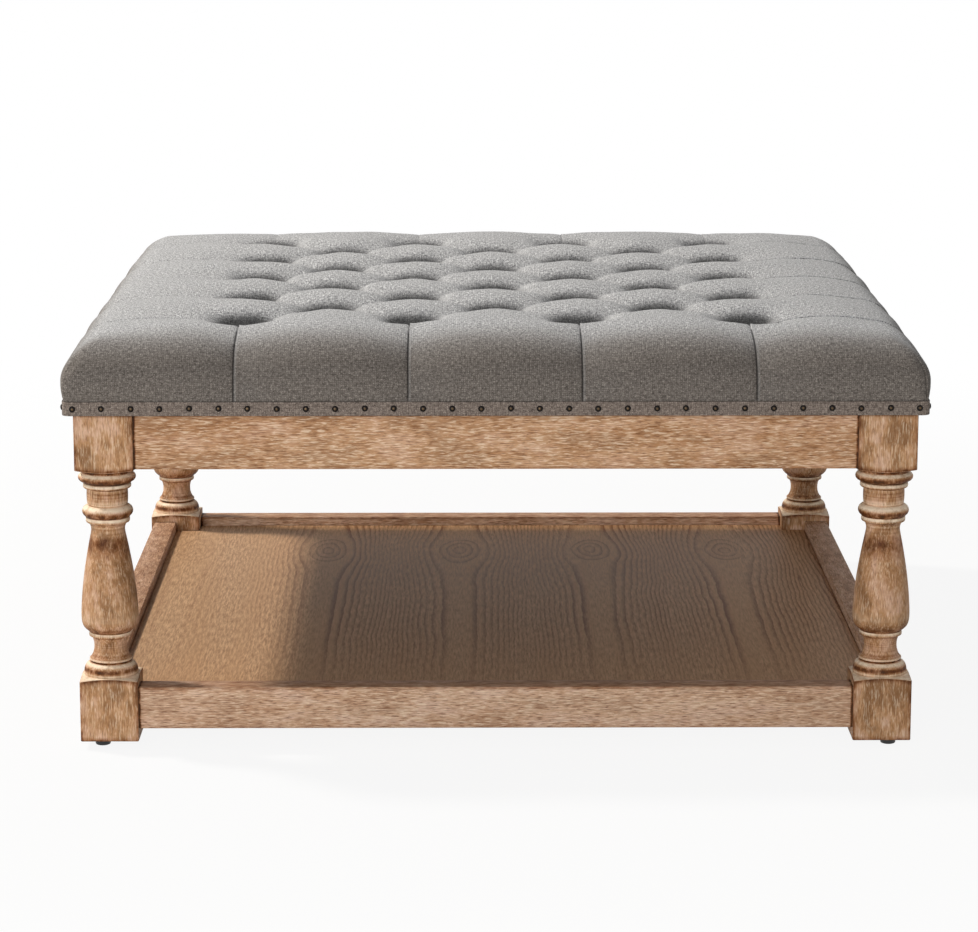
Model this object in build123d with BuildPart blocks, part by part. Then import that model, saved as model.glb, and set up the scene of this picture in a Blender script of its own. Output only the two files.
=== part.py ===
from build123d import *
import os
from math import atan2, cos, degrees, hypot, pi, radians, sin, sqrt, tan

os.makedirs("parts", exist_ok=True)

# A square coffee table that doubles as an ottoman. Four turned oak legs are joined by aprons under
# the top and by stretchers that carry a low shelf. The top is an upholstered, deep-buttoned cushion
# on a plywood deck. Millimetres, Z up. The origin is on the floor under the middle of the table.
# The front looks along -Y.

# Overall sizes: the top, how thick it is and how far it stands out over the frame all round
cushion_side = 914.0
table_height = 443.0
cushion_height = 78.5
cushion_overhang = 13.0
glue_gap = 0.15
overrun = 2.0

# Legs: square blocks at both ends, left square for the joints, with a turned stretch between them
leg_side = 62.0
glide_height = 8.5
lower_block_height = 68.8
upper_block_height = 64.0
shoulder_fall = 3.3
shoulder_radius = 28.6

# Heights and radii of the turned members, from the lower block upwards
foot_bead_height = 14.0
foot_bead_radius = 28.2
foot_bead_turn_share = 2 / 3
cove_lip_height = 2.6
cove_lip_radius = 22.6
cove_height = 20.5
cove_radius = 17.4
cove_top_radius = 19.8
ring_height = 5.4
ring_radius = 22.6
vase_foot_height = 11.4
vase_foot_radius = 28.0
vase_foot_turn_share = 2 / 5
vase_belly_radius = 30.3
vase_swell = 2.8
vase_neck_height = 9.0
vase_neck_radius = 17.9
neck_flare_radius = 20.2
collar_height = 6.0
collar_radius = 23.3
middle_bead_height = 12.6
middle_bead_radius = 27.0
barrel_height = 17.0
barrel_radius = 21.8
top_ring_height = 6.0
top_ring_radius = 25.3
top_bead_height = 14.6
top_bead_radius = 30.5
top_neck_height = 4.6
top_neck_radius = 26.4
# Flat sides round a turned member and straight cuts down a rounded one, few because the legs repeat them
turned_facets = 24
member_cuts = 4

# Aprons under the top, tenoned into the legs
apron_height = 60.0
apron_thickness = 22.0
apron_setback = 4.5
apron_tenon_length = 28.0
apron_tenon_height = 40.0
apron_tenon_thickness = 10.0

# Stretchers round the shelf, tenoned into the lower blocks
stretcher_bottom = 21.8
stretcher_height = 45.5
stretcher_thickness = 28.0
stretcher_setback = 4.0
stretcher_tenon_length = 28.0
stretcher_tenon_height = 30.0
stretcher_tenon_thickness = 12.0

# Shelf panel, let in below the tops of the stretchers and held by cleats
shelf_drop = 11.0
shelf_thickness = 12.0
shelf_gap = 0.5
cleat_side = 18.0

# Corner blocks behind the legs, and the screws that hold the top down through them
corner_block_arm = 70.0
corner_block_height = 40.0
screw_inset = 10.0
screw_radius = 2.5
screw_hole_radius = 3.0
screw_head_radius = 5.5
screw_head_height = 3.5
screw_bite = 9.0

# Floor glides, set towards the outer corner of each leg
glide_diameter = 16.4
glide_offset = 9.5
glide_pin_radius = 2.0
glide_pin_length = 14.0

# Deck, foam and cover of the top
cloth_thickness = 1.5
deck_thickness = 12.0
foam_thickness = 32.0
foam_setback = 10.0
foam_corner = 5.0
hem_width = 60.0
skirt_inset = 3.5
skirt_height = 15.2
bulge_height = 18.0
crown_rise = 5.0
crown_run = 190.0
cover_corner = 12.0
roll_turn = 45

# Tufts: rows of hollows across the top, with a staggered row in each space between two of them
tufts_across = 5
tufts_deep = 6
tuft_depth = 31.0
tuft_mouth_radius = 52.0
tuft_throat_radius = 30.0
tuft_floor_radius = 10.0
tuft_lip_depth = 8.0
tuft_sides = 8
pleat_width = 16.0
pleat_depth = 7.0

# Buttons at the bottom of the hollows, and the twine and washers that hold them
button_radius = 8.2
button_height = 5.5
twine_radius = 1.2
twine_sides = 3
twine_clearance = 0.3
washer_side = 14.0
washer_thickness = 0.9
dust_cover_thickness = 0.6
dust_cover_gap = 0.5

# Banding round the lower edge of the top, and its nails
band_thickness = 1.5
band_joint = 0.4
nails_per_side = 30
nail_end = 11.3
nail_radius = 3.1
nail_height = 1.7
nail_drop = 7.5
nail_sides = 6

# Places worked out from the sizes above
frame_side = cushion_side - 2 * cushion_overhang
frame_top = table_height - cushion_height
leg_axis = (frame_side - leg_side) / 2
leg_inner = frame_side / 2 - leg_side
rail_length = 2 * leg_inner
lower_block_top = glide_height + lower_block_height
upper_block_bottom = frame_top - upper_block_height
block_corner = leg_side / sqrt(2)
corner_radius = block_corner + overrun
apron_centre = frame_side / 2 - apron_setback - apron_thickness / 2
apron_inner = apron_centre - apron_thickness / 2
apron_middle = frame_top - apron_height / 2
stretcher_centre = frame_side / 2 - stretcher_setback - stretcher_thickness / 2
stretcher_inner = stretcher_centre - stretcher_thickness / 2
stretcher_middle = stretcher_bottom + stretcher_height / 2
shelf_top = stretcher_bottom + stretcher_height - shelf_drop
shelf_bottom = shelf_top - shelf_thickness
skirt_side = cushion_side - 2 * skirt_inset
deck_side = skirt_side - 2 * cloth_thickness
deck_corner = cover_corner - skirt_inset - cloth_thickness
deck_bottom = frame_top + cloth_thickness
deck_top = deck_bottom + deck_thickness
foam_side = deck_side - 2 * foam_setback
foam_top = deck_top + foam_thickness
skirt_top = frame_top + skirt_height
bulge_level = skirt_top + bulge_height
roll_top = table_height - crown_rise
tuft_floor = table_height - tuft_depth
sides = {"front": 0, "right": 90, "back": 180, "left": 270}


def rounded(start, end, swell, cuts):
    """Points on the rounded face of a turned member between two points (radius, height).

    The face bows outwards by swell at the middle, as a sine does, or inwards where it is negative.
    """
    points = []
    for cut in range(1, cuts):
        share = cut / cuts
        bow = swell * sin(pi * share)
        radius = start[0] + (end[0] - start[0]) * share + bow
        points.append((radius, start[1] + (end[1] - start[1]) * share))
    return points + [end]


def leg_profile():
    """Half outline of a leg, from the floor end up: (radius, height) at each turned edge."""
    z = lower_block_top
    outline = [(0, glide_height), (corner_radius, glide_height)]
    fall = shoulder_fall * (corner_radius - shoulder_radius) / (block_corner - shoulder_radius)
    outline += [(corner_radius, z - fall), (shoulder_radius, z)]
    outline += [(foot_bead_radius, z + foot_bead_height * foot_bead_turn_share)]
    z += foot_bead_height
    outline += [(cove_lip_radius, z), (cove_lip_radius, z + cove_lip_height)]
    z += cove_lip_height
    top = (cove_top_radius, z + cove_height)
    hollow = cove_radius - (cove_lip_radius + cove_top_radius) / 2
    outline += rounded((cove_lip_radius, z), top, hollow, member_cuts)
    z += cove_height
    outline += [(ring_radius, z), (ring_radius, z + ring_height)]
    z += ring_height
    outline += [(vase_foot_radius, z + vase_foot_height * vase_foot_turn_share)]
    z += vase_foot_height
    outline += [(vase_belly_radius, z)]

    # The members above the vase are stacked from their own heights, and the vase takes the rest
    above = [
        collar_height,
        middle_bead_height,
        barrel_height,
        top_ring_height,
        top_bead_height,
        top_neck_height,
    ]
    flare = upper_block_bottom - sum(above)
    neck = flare - vase_neck_height
    outline += rounded((vase_belly_radius, z), (vase_neck_radius, neck), vase_swell, member_cuts)
    outline += [(neck_flare_radius, flare), (collar_radius, flare)]
    z = flare + collar_height
    outline += [(collar_radius, z)]
    bead = middle_bead_radius - collar_radius
    end = (barrel_radius, z + middle_bead_height)
    outline += rounded((collar_radius, z), end, bead, member_cuts)
    z += middle_bead_height + barrel_height
    outline += [(barrel_radius, z), (top_ring_radius, z)]
    z += top_ring_height
    outline += [(top_ring_radius, z)]
    bead = top_bead_radius - top_ring_radius
    end = (top_neck_radius, z + top_bead_height)
    outline += rounded((top_ring_radius, z), end, bead, member_cuts)
    z += top_bead_height + top_neck_height
    outline += [(shoulder_radius, z), (corner_radius, z + fall)]
    outline += [(corner_radius, frame_top), (0, frame_top)]
    return outline


def faceted(outline, count):
    """Upright solid with this many flat sides, from its half outline (radius, height) upwards."""
    widest = max(radius for radius, level in outline)
    with BuildPart() as solid:
        for side in range(count // 2):
            turned = Plane.XZ.rotated((0, 0, 360 / count * side))
            with BuildSketch(turned):
                with BuildLine():
                    right = [(radius, level) for radius, level in outline if radius]
                    left = [(-radius, level) for radius, level in reversed(outline)]
                    Polyline(*right, *left, close=True)
                make_face()
            extrude(amount=2 * widest, both=True, mode=Mode.INTERSECT if side else Mode.ADD)
    return solid.part


# Turned leg, standing on its own axis, with its mortises facing +X and +Y
mortise_x = leg_axis - apron_centre
mortise_low = leg_axis - stretcher_centre
with BuildPart() as turned_leg:
    add(faceted(leg_profile(), turned_facets))
    with BuildSketch(Plane.XY.offset(glide_height)):
        Rectangle(leg_side, leg_side)
    extrude(amount=frame_top - glide_height, mode=Mode.INTERSECT)
    for middle, tenon_height, thickness, length, offset in (
        (apron_middle, apron_tenon_height, apron_tenon_thickness, apron_tenon_length, mortise_x),
        (
            stretcher_middle,
            stretcher_tenon_height,
            stretcher_tenon_thickness,
            stretcher_tenon_length,
            mortise_low,
        ),
    ):
        for plane, side in ((Plane.YZ, 1), (Plane.XZ, -1)):
            with BuildSketch(plane.offset(side * leg_side / 2)):
                with Locations((offset, middle)):
                    Rectangle(thickness + 2 * glue_gap, tenon_height + 2 * glue_gap)
            extrude(amount=-side * (length + glue_gap), mode=Mode.SUBTRACT)
    with BuildSketch(Plane.XY.offset(glide_height)):
        with Locations((-glide_offset, -glide_offset)):
            RegularPolygon(glide_pin_radius + glue_gap, 6)
    extrude(amount=glide_pin_length + glue_gap, mode=Mode.SUBTRACT)

# The four legs, alike but turned so that their mortises face each other
with BuildPart() as turned_legs:
    for turn in sides.values():
        with Locations(Location((0, 0, 0), (0, 0, turn)) * Location((-leg_axis, -leg_axis, 0))):
            add(turned_leg.part)
turned_legs.part.label = "turned_legs"
export_step(turned_legs.part, "parts/turned_legs.step")

# Floor glides with the pins that hold them in the legs
with BuildPart() as floor_glide:
    with BuildSketch():
        Circle(glide_diameter / 2)
    extrude(amount=glide_height)
    with BuildSketch(Plane.XY.offset(glide_height)):
        RegularPolygon(glide_pin_radius, 6)
    extrude(amount=glide_pin_length)

glide_place = leg_axis + glide_offset
with BuildPart() as floor_glides:
    for turn in sides.values():
        with Locations(Location((0, 0, 0), (0, 0, turn)) * Location((-glide_place, -glide_place, 0))):
            add(floor_glide.part)
floor_glides.part.label = "floor_glides"
export_step(floor_glides.part, "parts/floor_glides.step")

# Apron between two legs, with a tenon at each end
with BuildPart() as front_apron:
    with BuildSketch(Plane.XY.offset(frame_top - apron_height)):
        with Locations((0, -apron_centre)):
            Rectangle(rail_length, apron_thickness)
    extrude(amount=apron_height)
    with BuildSketch(Plane.XY.offset(apron_middle - apron_tenon_height / 2)):
        with Locations((0, -apron_centre)):
            Rectangle(rail_length + 2 * apron_tenon_length, apron_tenon_thickness)
    extrude(amount=apron_tenon_height)

# Stretcher between two legs, with a tenon at each end
with BuildPart() as front_stretcher:
    with BuildSketch(Plane.XY.offset(stretcher_bottom)):
        with Locations((0, -stretcher_centre)):
            Rectangle(rail_length, stretcher_thickness)
    extrude(amount=stretcher_height)
    with BuildSketch(Plane.XY.offset(stretcher_middle - stretcher_tenon_height / 2)):
        with Locations((0, -stretcher_centre)):
            Rectangle(rail_length + 2 * stretcher_tenon_length, stretcher_tenon_thickness)
    extrude(amount=stretcher_tenon_height)

# Cleat under the shelf panel, glued to the inner face of a stretcher between two legs
with BuildPart() as front_cleat:
    with BuildSketch(Plane.XY.offset(shelf_bottom - cleat_side)):
        with Locations((0, -stretcher_inner + cleat_side / 2)):
            Rectangle(rail_length - 2 * cleat_side, cleat_side)
    extrude(amount=cleat_side)

for name, turn in sides.items():
    for word, master in (
        ("apron", front_apron),
        ("stretcher", front_stretcher),
        ("shelf_cleat", front_cleat),
    ):
        with BuildPart() as rail:
            with Locations(Location((0, 0, 0), (0, 0, turn))):
                add(master.part)
        rail.part.label = f"{name}_{word}"
        export_step(rail.part, f"parts/{name}_{word}.step")

# Shelf panel, cut out at its corners round the legs
with BuildPart() as shelf_panel:
    with BuildSketch(Plane.XY.offset(shelf_bottom)):
        Rectangle(2 * (stretcher_inner - shelf_gap), 2 * (stretcher_inner - shelf_gap))
        notch = 2 * (stretcher_inner - leg_inner + shelf_gap)
        with GridLocations(2 * stretcher_inner, 2 * stretcher_inner, 2, 2):
            Rectangle(notch, notch, mode=Mode.SUBTRACT)
    extrude(amount=shelf_thickness)
shelf_panel.part.label = "shelf_panel"
export_step(shelf_panel.part, "parts/shelf_panel.step")

# Corner block, glued between two aprons round the leg, with the hole for one screw of the top
screw_place = apron_inner - corner_block_arm / 2 - screw_inset
screw_foot = frame_top - corner_block_height
with BuildPart() as corner_block:
    with BuildSketch(Plane.XY.offset(screw_foot)):
        with BuildLine():
            Polyline(
                (apron_inner, leg_inner),
                (leg_inner, leg_inner),
                (leg_inner, apron_inner),
                (leg_inner - corner_block_arm, apron_inner),
                (apron_inner, leg_inner - corner_block_arm),
                close=True,
            )
        make_face()
        with Locations((screw_place, screw_place)):
            RegularPolygon(screw_hole_radius, 6, mode=Mode.SUBTRACT)
    extrude(amount=corner_block_height)

for name, turn in zip(("back_right", "back_left", "front_left", "front_right"), sides.values()):
    with BuildPart() as block:
        with Locations(Location((0, 0, 0), (0, 0, turn))):
            add(corner_block.part)
    block.part.label = f"{name}_corner_block"
    export_step(block.part, f"parts/{name}_corner_block.step")

# Screws of the top, up through the corner blocks into the deck
with BuildPart() as top_screws:
    for start, amount, radius in (
        (screw_foot - screw_head_height, screw_head_height, screw_head_radius),
        (screw_foot, corner_block_height + cloth_thickness + screw_bite, screw_radius),
    ):
        with BuildSketch(Plane.XY.offset(start)):
            with GridLocations(2 * screw_place, 2 * screw_place, 2, 2):
                RegularPolygon(radius, 6)
        extrude(amount=amount)
top_screws.part.label = "top_screws"
export_step(top_screws.part, "parts/top_screws.step")

# Places of the tufts: full rows, then the staggered rows between them
full_rows = GridLocations(
    cushion_side / tufts_across,
    cushion_side / tufts_deep,
    tufts_across - 1,
    tufts_deep - 1,
)
staggered_rows = GridLocations(
    cushion_side / tufts_across,
    cushion_side / tufts_deep,
    tufts_across - 2,
    tufts_deep - 2,
)
staggered = [place.position for place in staggered_rows]
tufts = [place.position for place in full_rows] + staggered

# Deck of plywood, with a hole for each twine and a pilot for each screw of the top
with BuildPart() as deck_board:
    with BuildSketch(Plane.XY.offset(deck_bottom)):
        RectangleRounded(deck_side, deck_side, deck_corner)
        with Locations(*tufts):
            RegularPolygon(twine_radius + twine_clearance, twine_sides, mode=Mode.SUBTRACT)
    extrude(amount=deck_thickness)
    with BuildSketch(Plane.XY.offset(deck_bottom)):
        with GridLocations(2 * screw_place, 2 * screw_place, 2, 2):
            RegularPolygon(screw_radius, 6)
    extrude(amount=screw_bite, mode=Mode.SUBTRACT)
deck_board.part.label = "deck_board"
export_step(deck_board.part, "parts/deck_board.step")

# Foam block on the deck
with BuildPart() as foam_core:
    with BuildSketch(Plane.XY.offset(deck_top)):
        RectangleRounded(foam_side, foam_side, foam_corner)
        with Locations(*tufts):
            RegularPolygon(twine_radius + twine_clearance, twine_sides, mode=Mode.SUBTRACT)
    extrude(amount=foam_thickness)
foam_core.part.label = "foam_core"
export_step(foam_core.part, "parts/foam_core.step")

# Hollow of one tuft, cut with flat sides: it flares at the lip and narrows to the button
tuft_lip = table_height - tuft_lip_depth
flare = (tuft_mouth_radius - tuft_throat_radius) / tuft_lip_depth
tuft_hollow = faceted(
    [
        (tuft_floor_radius, tuft_floor),
        (tuft_throat_radius, tuft_lip),
        (tuft_throat_radius + 2 * tuft_lip_depth * flare, table_height + tuft_lip_depth),
    ],
    tuft_sides,
)

# Pleat between two neighbouring tufts, a valley along X with its bottom under the crown
across, along = cushion_side / tufts_across / 2, cushion_side / tufts_deep / 2
slope = pleat_width / 2 / pleat_depth
with BuildPart() as diagonal_pleat:
    with BuildSketch(Plane.YZ):
        with BuildLine():
            Polyline(
                (0, table_height - pleat_depth),
                (2 * pleat_depth * slope, table_height + pleat_depth),
                (-2 * pleat_depth * slope, table_height + pleat_depth),
                close=True,
            )
        make_face()
    extrude(amount=hypot(across, along) / 2, both=True)
pleat_turn = degrees(atan2(along, across))
diagonals = [
    Location((place.X + x * across / 2, place.Y + y * along / 2, 0), (0, 0, x * y * pleat_turn))
    for place in staggered
    for x in (-1, 1)
    for y in (-1, 1)
]

# Pleat from an outer tuft over the roll of the front edge and down to the band, in three runs
half = cushion_side / 2
roll_radius = roll_top - bulge_level
roll_axis = half - roll_radius
reach = roll_radius * tan(radians(roll_turn / 2))


def edge_pleat(run):
    """Valley of a pleat in the front face, which starts this far inside the roll."""
    with BuildPart() as valley:
        for turn, below, above in (
            (0, bulge_level - skirt_top, reach),
            (roll_turn, reach, reach),
            (2 * roll_turn, reach, run),
        ):
            rise, out = sin(radians(turn)), cos(radians(turn))
            foot = Plane(
                origin=(0, -roll_axis - roll_radius * out, bulge_level + roll_radius * rise),
                x_dir=(1, 0, 0),
                z_dir=(0, rise, out),
            ).offset(-below)
            with BuildSketch(foot):
                with BuildLine():
                    Polyline(
                        (0, pleat_depth),
                        (2 * pleat_depth * slope, -pleat_depth),
                        (-2 * pleat_depth * slope, -pleat_depth),
                        close=True,
                    )
                make_face()
            extrude(amount=below + above)
    return valley.part


front_pleat = edge_pleat(roll_axis - (tufts_deep - 2) * along)
side_pleat = edge_pleat(roll_axis - (tufts_across - 2) * across)
front_places = [(2 * across * (step - (tufts_across - 2) / 2), 0) for step in range(tufts_across - 1)]
side_places = [(2 * along * (step - (tufts_deep - 2) / 2), 0) for step in range(tufts_deep - 1)]

# Tufted cover: linen-look cloth with its wadding, drawn over the foam and under the deck's edge.
# The same section is run both ways, so the roll meets in a hip at each corner.
crown_edge = roll_axis - crown_run
with BuildPart() as tufted_cover:
    for plane, mode in ((Plane.XZ, Mode.ADD), (Plane.YZ, Mode.INTERSECT)):
        with BuildSketch(plane):
            with BuildLine():
                Polyline((roll_axis, roll_top), (crown_edge, table_height), (0, table_height))
                Polyline((0, table_height), (0, skirt_top), (skirt_side / 2, skirt_top))
                TangentArc((half, bulge_level), (skirt_side / 2, skirt_top), tangent=(0, -1))
                TangentArc((half, bulge_level), (roll_axis, roll_top), tangent=(0, 1))
            make_face()
            mirror(about=Plane.YZ)
        extrude(amount=half, both=True, mode=mode)
    with BuildSketch(Plane.XY.offset(skirt_top)):
        RectangleRounded(cushion_side, cushion_side, cover_corner)
    extrude(amount=table_height - skirt_top, mode=Mode.INTERSECT)
    with Locations(*tufts):
        add(tuft_hollow, mode=Mode.SUBTRACT)
    with Locations(*diagonals):
        add(diagonal_pleat.part, mode=Mode.SUBTRACT)
    for pleat, places, turns in (
        (front_pleat, front_places, (sides["front"], sides["back"])),
        (side_pleat, side_places, (sides["left"], sides["right"])),
    ):
        for turn in turns:
            with Locations(Location((0, 0, 0), (0, 0, turn))):
                with Locations(*places):
                    add(pleat, mode=Mode.SUBTRACT)
    with BuildSketch(Plane.XY.offset(frame_top)):
        RectangleRounded(skirt_side, skirt_side, cover_corner - skirt_inset)
    extrude(amount=skirt_height)
    with BuildSketch(Plane.XY.offset(deck_bottom)):
        RectangleRounded(deck_side, deck_side, deck_corner)
    extrude(amount=deck_thickness, mode=Mode.SUBTRACT)
    with BuildSketch(Plane.XY.offset(deck_top)):
        RectangleRounded(foam_side, foam_side, foam_corner)
    extrude(amount=foam_thickness, mode=Mode.SUBTRACT)
    with BuildSketch(Plane.XY.offset(frame_top)):
        Rectangle(deck_side - 2 * hem_width, deck_side - 2 * hem_width)
    extrude(amount=cloth_thickness, mode=Mode.SUBTRACT)
    with BuildSketch(Plane.XY.offset(foam_top)):
        with Locations(*tufts):
            RegularPolygon(twine_radius + twine_clearance, twine_sides)
    extrude(amount=tuft_floor - foam_top, mode=Mode.SUBTRACT)
tufted_cover.part.label = "tufted_cover"
export_step(tufted_cover.part, "parts/tufted_cover.step")

# Buttons at the bottom of the hollows
with BuildPart() as tuft_buttons:
    with BuildSketch(Plane.XY.offset(tuft_floor)):
        with Locations(*tufts):
            RegularPolygon(button_radius, tuft_sides)
    extrude(amount=button_height)
tuft_buttons.part.label = "tuft_buttons"
export_step(tuft_buttons.part, "parts/tuft_buttons.step")

# Twines from the buttons through the foam and the deck
with BuildPart() as tuft_twines:
    with BuildSketch(Plane.XY.offset(deck_bottom)):
        with Locations(*tufts):
            RegularPolygon(twine_radius, twine_sides)
    extrude(amount=tuft_floor - deck_bottom)
tuft_twines.part.label = "tuft_twines"
export_step(tuft_twines.part, "parts/tuft_twines.step")

# Washers that the twines are tied to, under the deck
with BuildPart() as twine_washers:
    with BuildSketch(Plane.XY.offset(deck_bottom - washer_thickness)):
        with Locations(*tufts):
            Rectangle(washer_side, washer_side)
    extrude(amount=washer_thickness)
twine_washers.part.label = "twine_washers"
export_step(twine_washers.part, "parts/twine_washers.step")

# Dust cover under the deck, inside the hem of the cover
dust_cover_side = deck_side - 2 * hem_width - 2 * dust_cover_gap
with BuildPart() as dust_cover:
    with BuildSketch(Plane.XY.offset(deck_bottom - washer_thickness - dust_cover_thickness)):
        Rectangle(dust_cover_side, dust_cover_side)
        with GridLocations(2 * screw_place, 2 * screw_place, 2, 2):
            RegularPolygon(screw_hole_radius, 6, mode=Mode.SUBTRACT)
    extrude(amount=dust_cover_thickness)
dust_cover.part.label = "dust_cover"
export_step(dust_cover.part, "parts/dust_cover.step")

# Banding round the lower edge of the cover, with its joint at the middle of the back
band_side = skirt_side + 2 * band_thickness
with BuildPart() as trim_band:
    with BuildSketch(Plane.XY.offset(frame_top)):
        RectangleRounded(band_side, band_side, cover_corner - skirt_inset + band_thickness)
        RectangleRounded(skirt_side, skirt_side, cover_corner - skirt_inset, mode=Mode.SUBTRACT)
        with Locations((0, skirt_side / 2 + band_thickness)):
            Rectangle(band_joint, 2 * band_thickness, mode=Mode.SUBTRACT)
    extrude(amount=skirt_height)
trim_band.part.label = "trim_band"
export_step(trim_band.part, "parts/trim_band.step")

# Head of one nail, and a row of them along each side of the band
nail_head = faceted([(nail_radius, 0), (0, nail_height)], nail_sides)
nail_pitch = (band_side - 2 * nail_end) / (nails_per_side - 1)
nail_place = (0, -band_side / 2, skirt_top - nail_drop)
nail_plane = Plane(origin=nail_place, x_dir=(1, 0, 0), z_dir=(0, -1, 0))
for name, turn in sides.items():
    with BuildPart() as nail_row:
        with Locations(Location((0, 0, 0), (0, 0, turn))):
            with Locations(nail_plane):
                with GridLocations(nail_pitch, nail_pitch, nails_per_side, 1):
                    add(nail_head)
    nail_row.part.label = f"{name}_nails"
    export_step(nail_row.part, f"parts/{name}_nails.step")
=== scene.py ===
"""A deep-buttoned coffee table on turned oak legs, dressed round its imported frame.

Every piece is in metres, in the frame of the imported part: the origin is on the floor under the middle
of the table, Z is up and the front looks along -Y.
"""

import logging
import math
from dataclasses import dataclass, field
from enum import Enum
from functools import partial
from typing import Any, Sequence

import bpy
import numpy as np
from bpy.types import ID, Material, Mesh, Node, NodeSocket, NodeTree, Object
from mathutils import Euler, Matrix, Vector


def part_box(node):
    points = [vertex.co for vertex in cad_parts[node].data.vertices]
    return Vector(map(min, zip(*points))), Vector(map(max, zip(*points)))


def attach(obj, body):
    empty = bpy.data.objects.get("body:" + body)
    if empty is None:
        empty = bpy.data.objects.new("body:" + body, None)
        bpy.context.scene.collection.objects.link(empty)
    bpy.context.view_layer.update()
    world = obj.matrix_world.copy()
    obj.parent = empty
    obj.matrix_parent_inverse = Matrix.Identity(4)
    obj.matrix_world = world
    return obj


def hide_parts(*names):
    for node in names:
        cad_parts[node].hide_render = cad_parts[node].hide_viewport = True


MM = 0.001
BODY = "root"
LOG = logging.getLogger("coffee_table")

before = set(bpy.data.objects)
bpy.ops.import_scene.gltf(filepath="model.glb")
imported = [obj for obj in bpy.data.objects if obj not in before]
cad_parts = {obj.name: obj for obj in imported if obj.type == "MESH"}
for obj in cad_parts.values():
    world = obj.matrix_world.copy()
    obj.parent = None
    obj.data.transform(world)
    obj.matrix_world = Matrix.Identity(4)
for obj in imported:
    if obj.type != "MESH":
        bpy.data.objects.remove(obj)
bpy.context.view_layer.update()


class Grain(Enum):
    """Direction of the wood's fibres, as the scale of a pattern along X, Y and Z."""

    ALONG_X = (0.06, 1.0, 1.0)
    ALONG_Y = (1.0, 0.06, 1.0)
    ALONG_Z = (1.0, 1.0, 0.06)


class Side(Enum):
    """Side of the table, as the plan direction that it looks along."""

    FRONT = (0, -1)
    RIGHT = (1, 0)
    BACK = (0, 1)
    LEFT = (-1, 0)

    @property
    def along(self) -> tuple[int, int]:
        """Plan direction that runs along the side, anticlockwise seen from above."""
        x, y = self.value
        return (-y, x)

    def place(self, along: np.ndarray, out: np.ndarray) -> np.ndarray:
        """Turns distances along and out of the side into plan points.

        Args:
            along: Distances along the side.
            out: Distances out from the middle of the table.

        Returns:
            One row of x and y for each point.
        """
        along, out = np.broadcast_arrays(np.asarray(along, float), np.asarray(out, float))
        return np.stack([along * self.along[k] + out * self.value[k] for k in (0, 1)], axis=-1)


def linear(shade: str) -> tuple[float, float, float, float]:
    """Turns an sRGB hex colour into the linear RGBA that the shaders work in.

    Args:
        shade: Six hex digits after a hash.

    Returns:
        Linear red, green, blue and an alpha of one.
    """
    parts = [int(shade[k : k + 2], 16) / 255 for k in (1, 3, 5)]
    low = [c / 12.92 if c <= 0.04045 else ((c + 0.055) / 1.055) ** 2.4 for c in parts]
    return (low[0], low[1], low[2], 1.0)


def feed(tree: NodeTree, node: Node, inputs: dict[Any, Any] | Sequence[Any]) -> None:
    """Sets or links inputs of a node.

    Args:
        tree: The tree that the node is in.
        node: The node.
        inputs: A value, a socket or a node whose first live output is meant, by the input's name or
            number, or one for each of the first inputs. Mix takes numbers at 2 and 3, colours at 6 and 7.
    """
    for key, given in inputs.items() if isinstance(inputs, dict) else enumerate(inputs):
        if isinstance(given, Node):
            given = next(output for output in given.outputs if output.enabled)
        if isinstance(given, NodeSocket):
            tree.links.new(given, node.inputs[key])
        else:
            node.inputs[key].default_value = given


def add_node(
    tree: NodeTree,
    kind: str,
    inputs: dict[Any, Any] | Sequence[Any] = (),
    stops: Sequence[tuple[float, str]] = (),
    **settings: Any,
) -> Node:
    """Adds one node with its settings, values and links.

    Args:
        tree: The node tree that gets the node.
        kind: The node's type name, a shader node's without ShaderNode. A colon and its operation may follow.
        inputs: Its inputs, as feed takes them.
        stops: Positions and sRGB hex colours of a colour ramp.
        **settings: Attributes of the node itself.

    Returns:
        The new node.
    """
    kind, _, operation = kind.partition(":")
    node = tree.nodes.new(kind if "Node" in kind else f"ShaderNode{kind}")
    if operation:
        node.operation = operation
    for name, value in settings.items():
        setattr(node, name, value)
    feed(tree, node, inputs)
    for number, (position, shade) in enumerate(stops):
        if number > 1:
            node.color_ramp.elements.new(position)
        node.color_ramp.elements[number].position = position
        node.color_ramp.elements[number].color = linear(shade)
    return node


def new_material(name: str) -> tuple[Material, NodeTree, Node]:
    """Makes a material and gives it, its node tree and its Principled shader."""
    material = bpy.data.materials.new(name)
    material.use_nodes = True
    tree = material.node_tree
    return material, tree, tree.nodes["Principled BSDF"]


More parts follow.
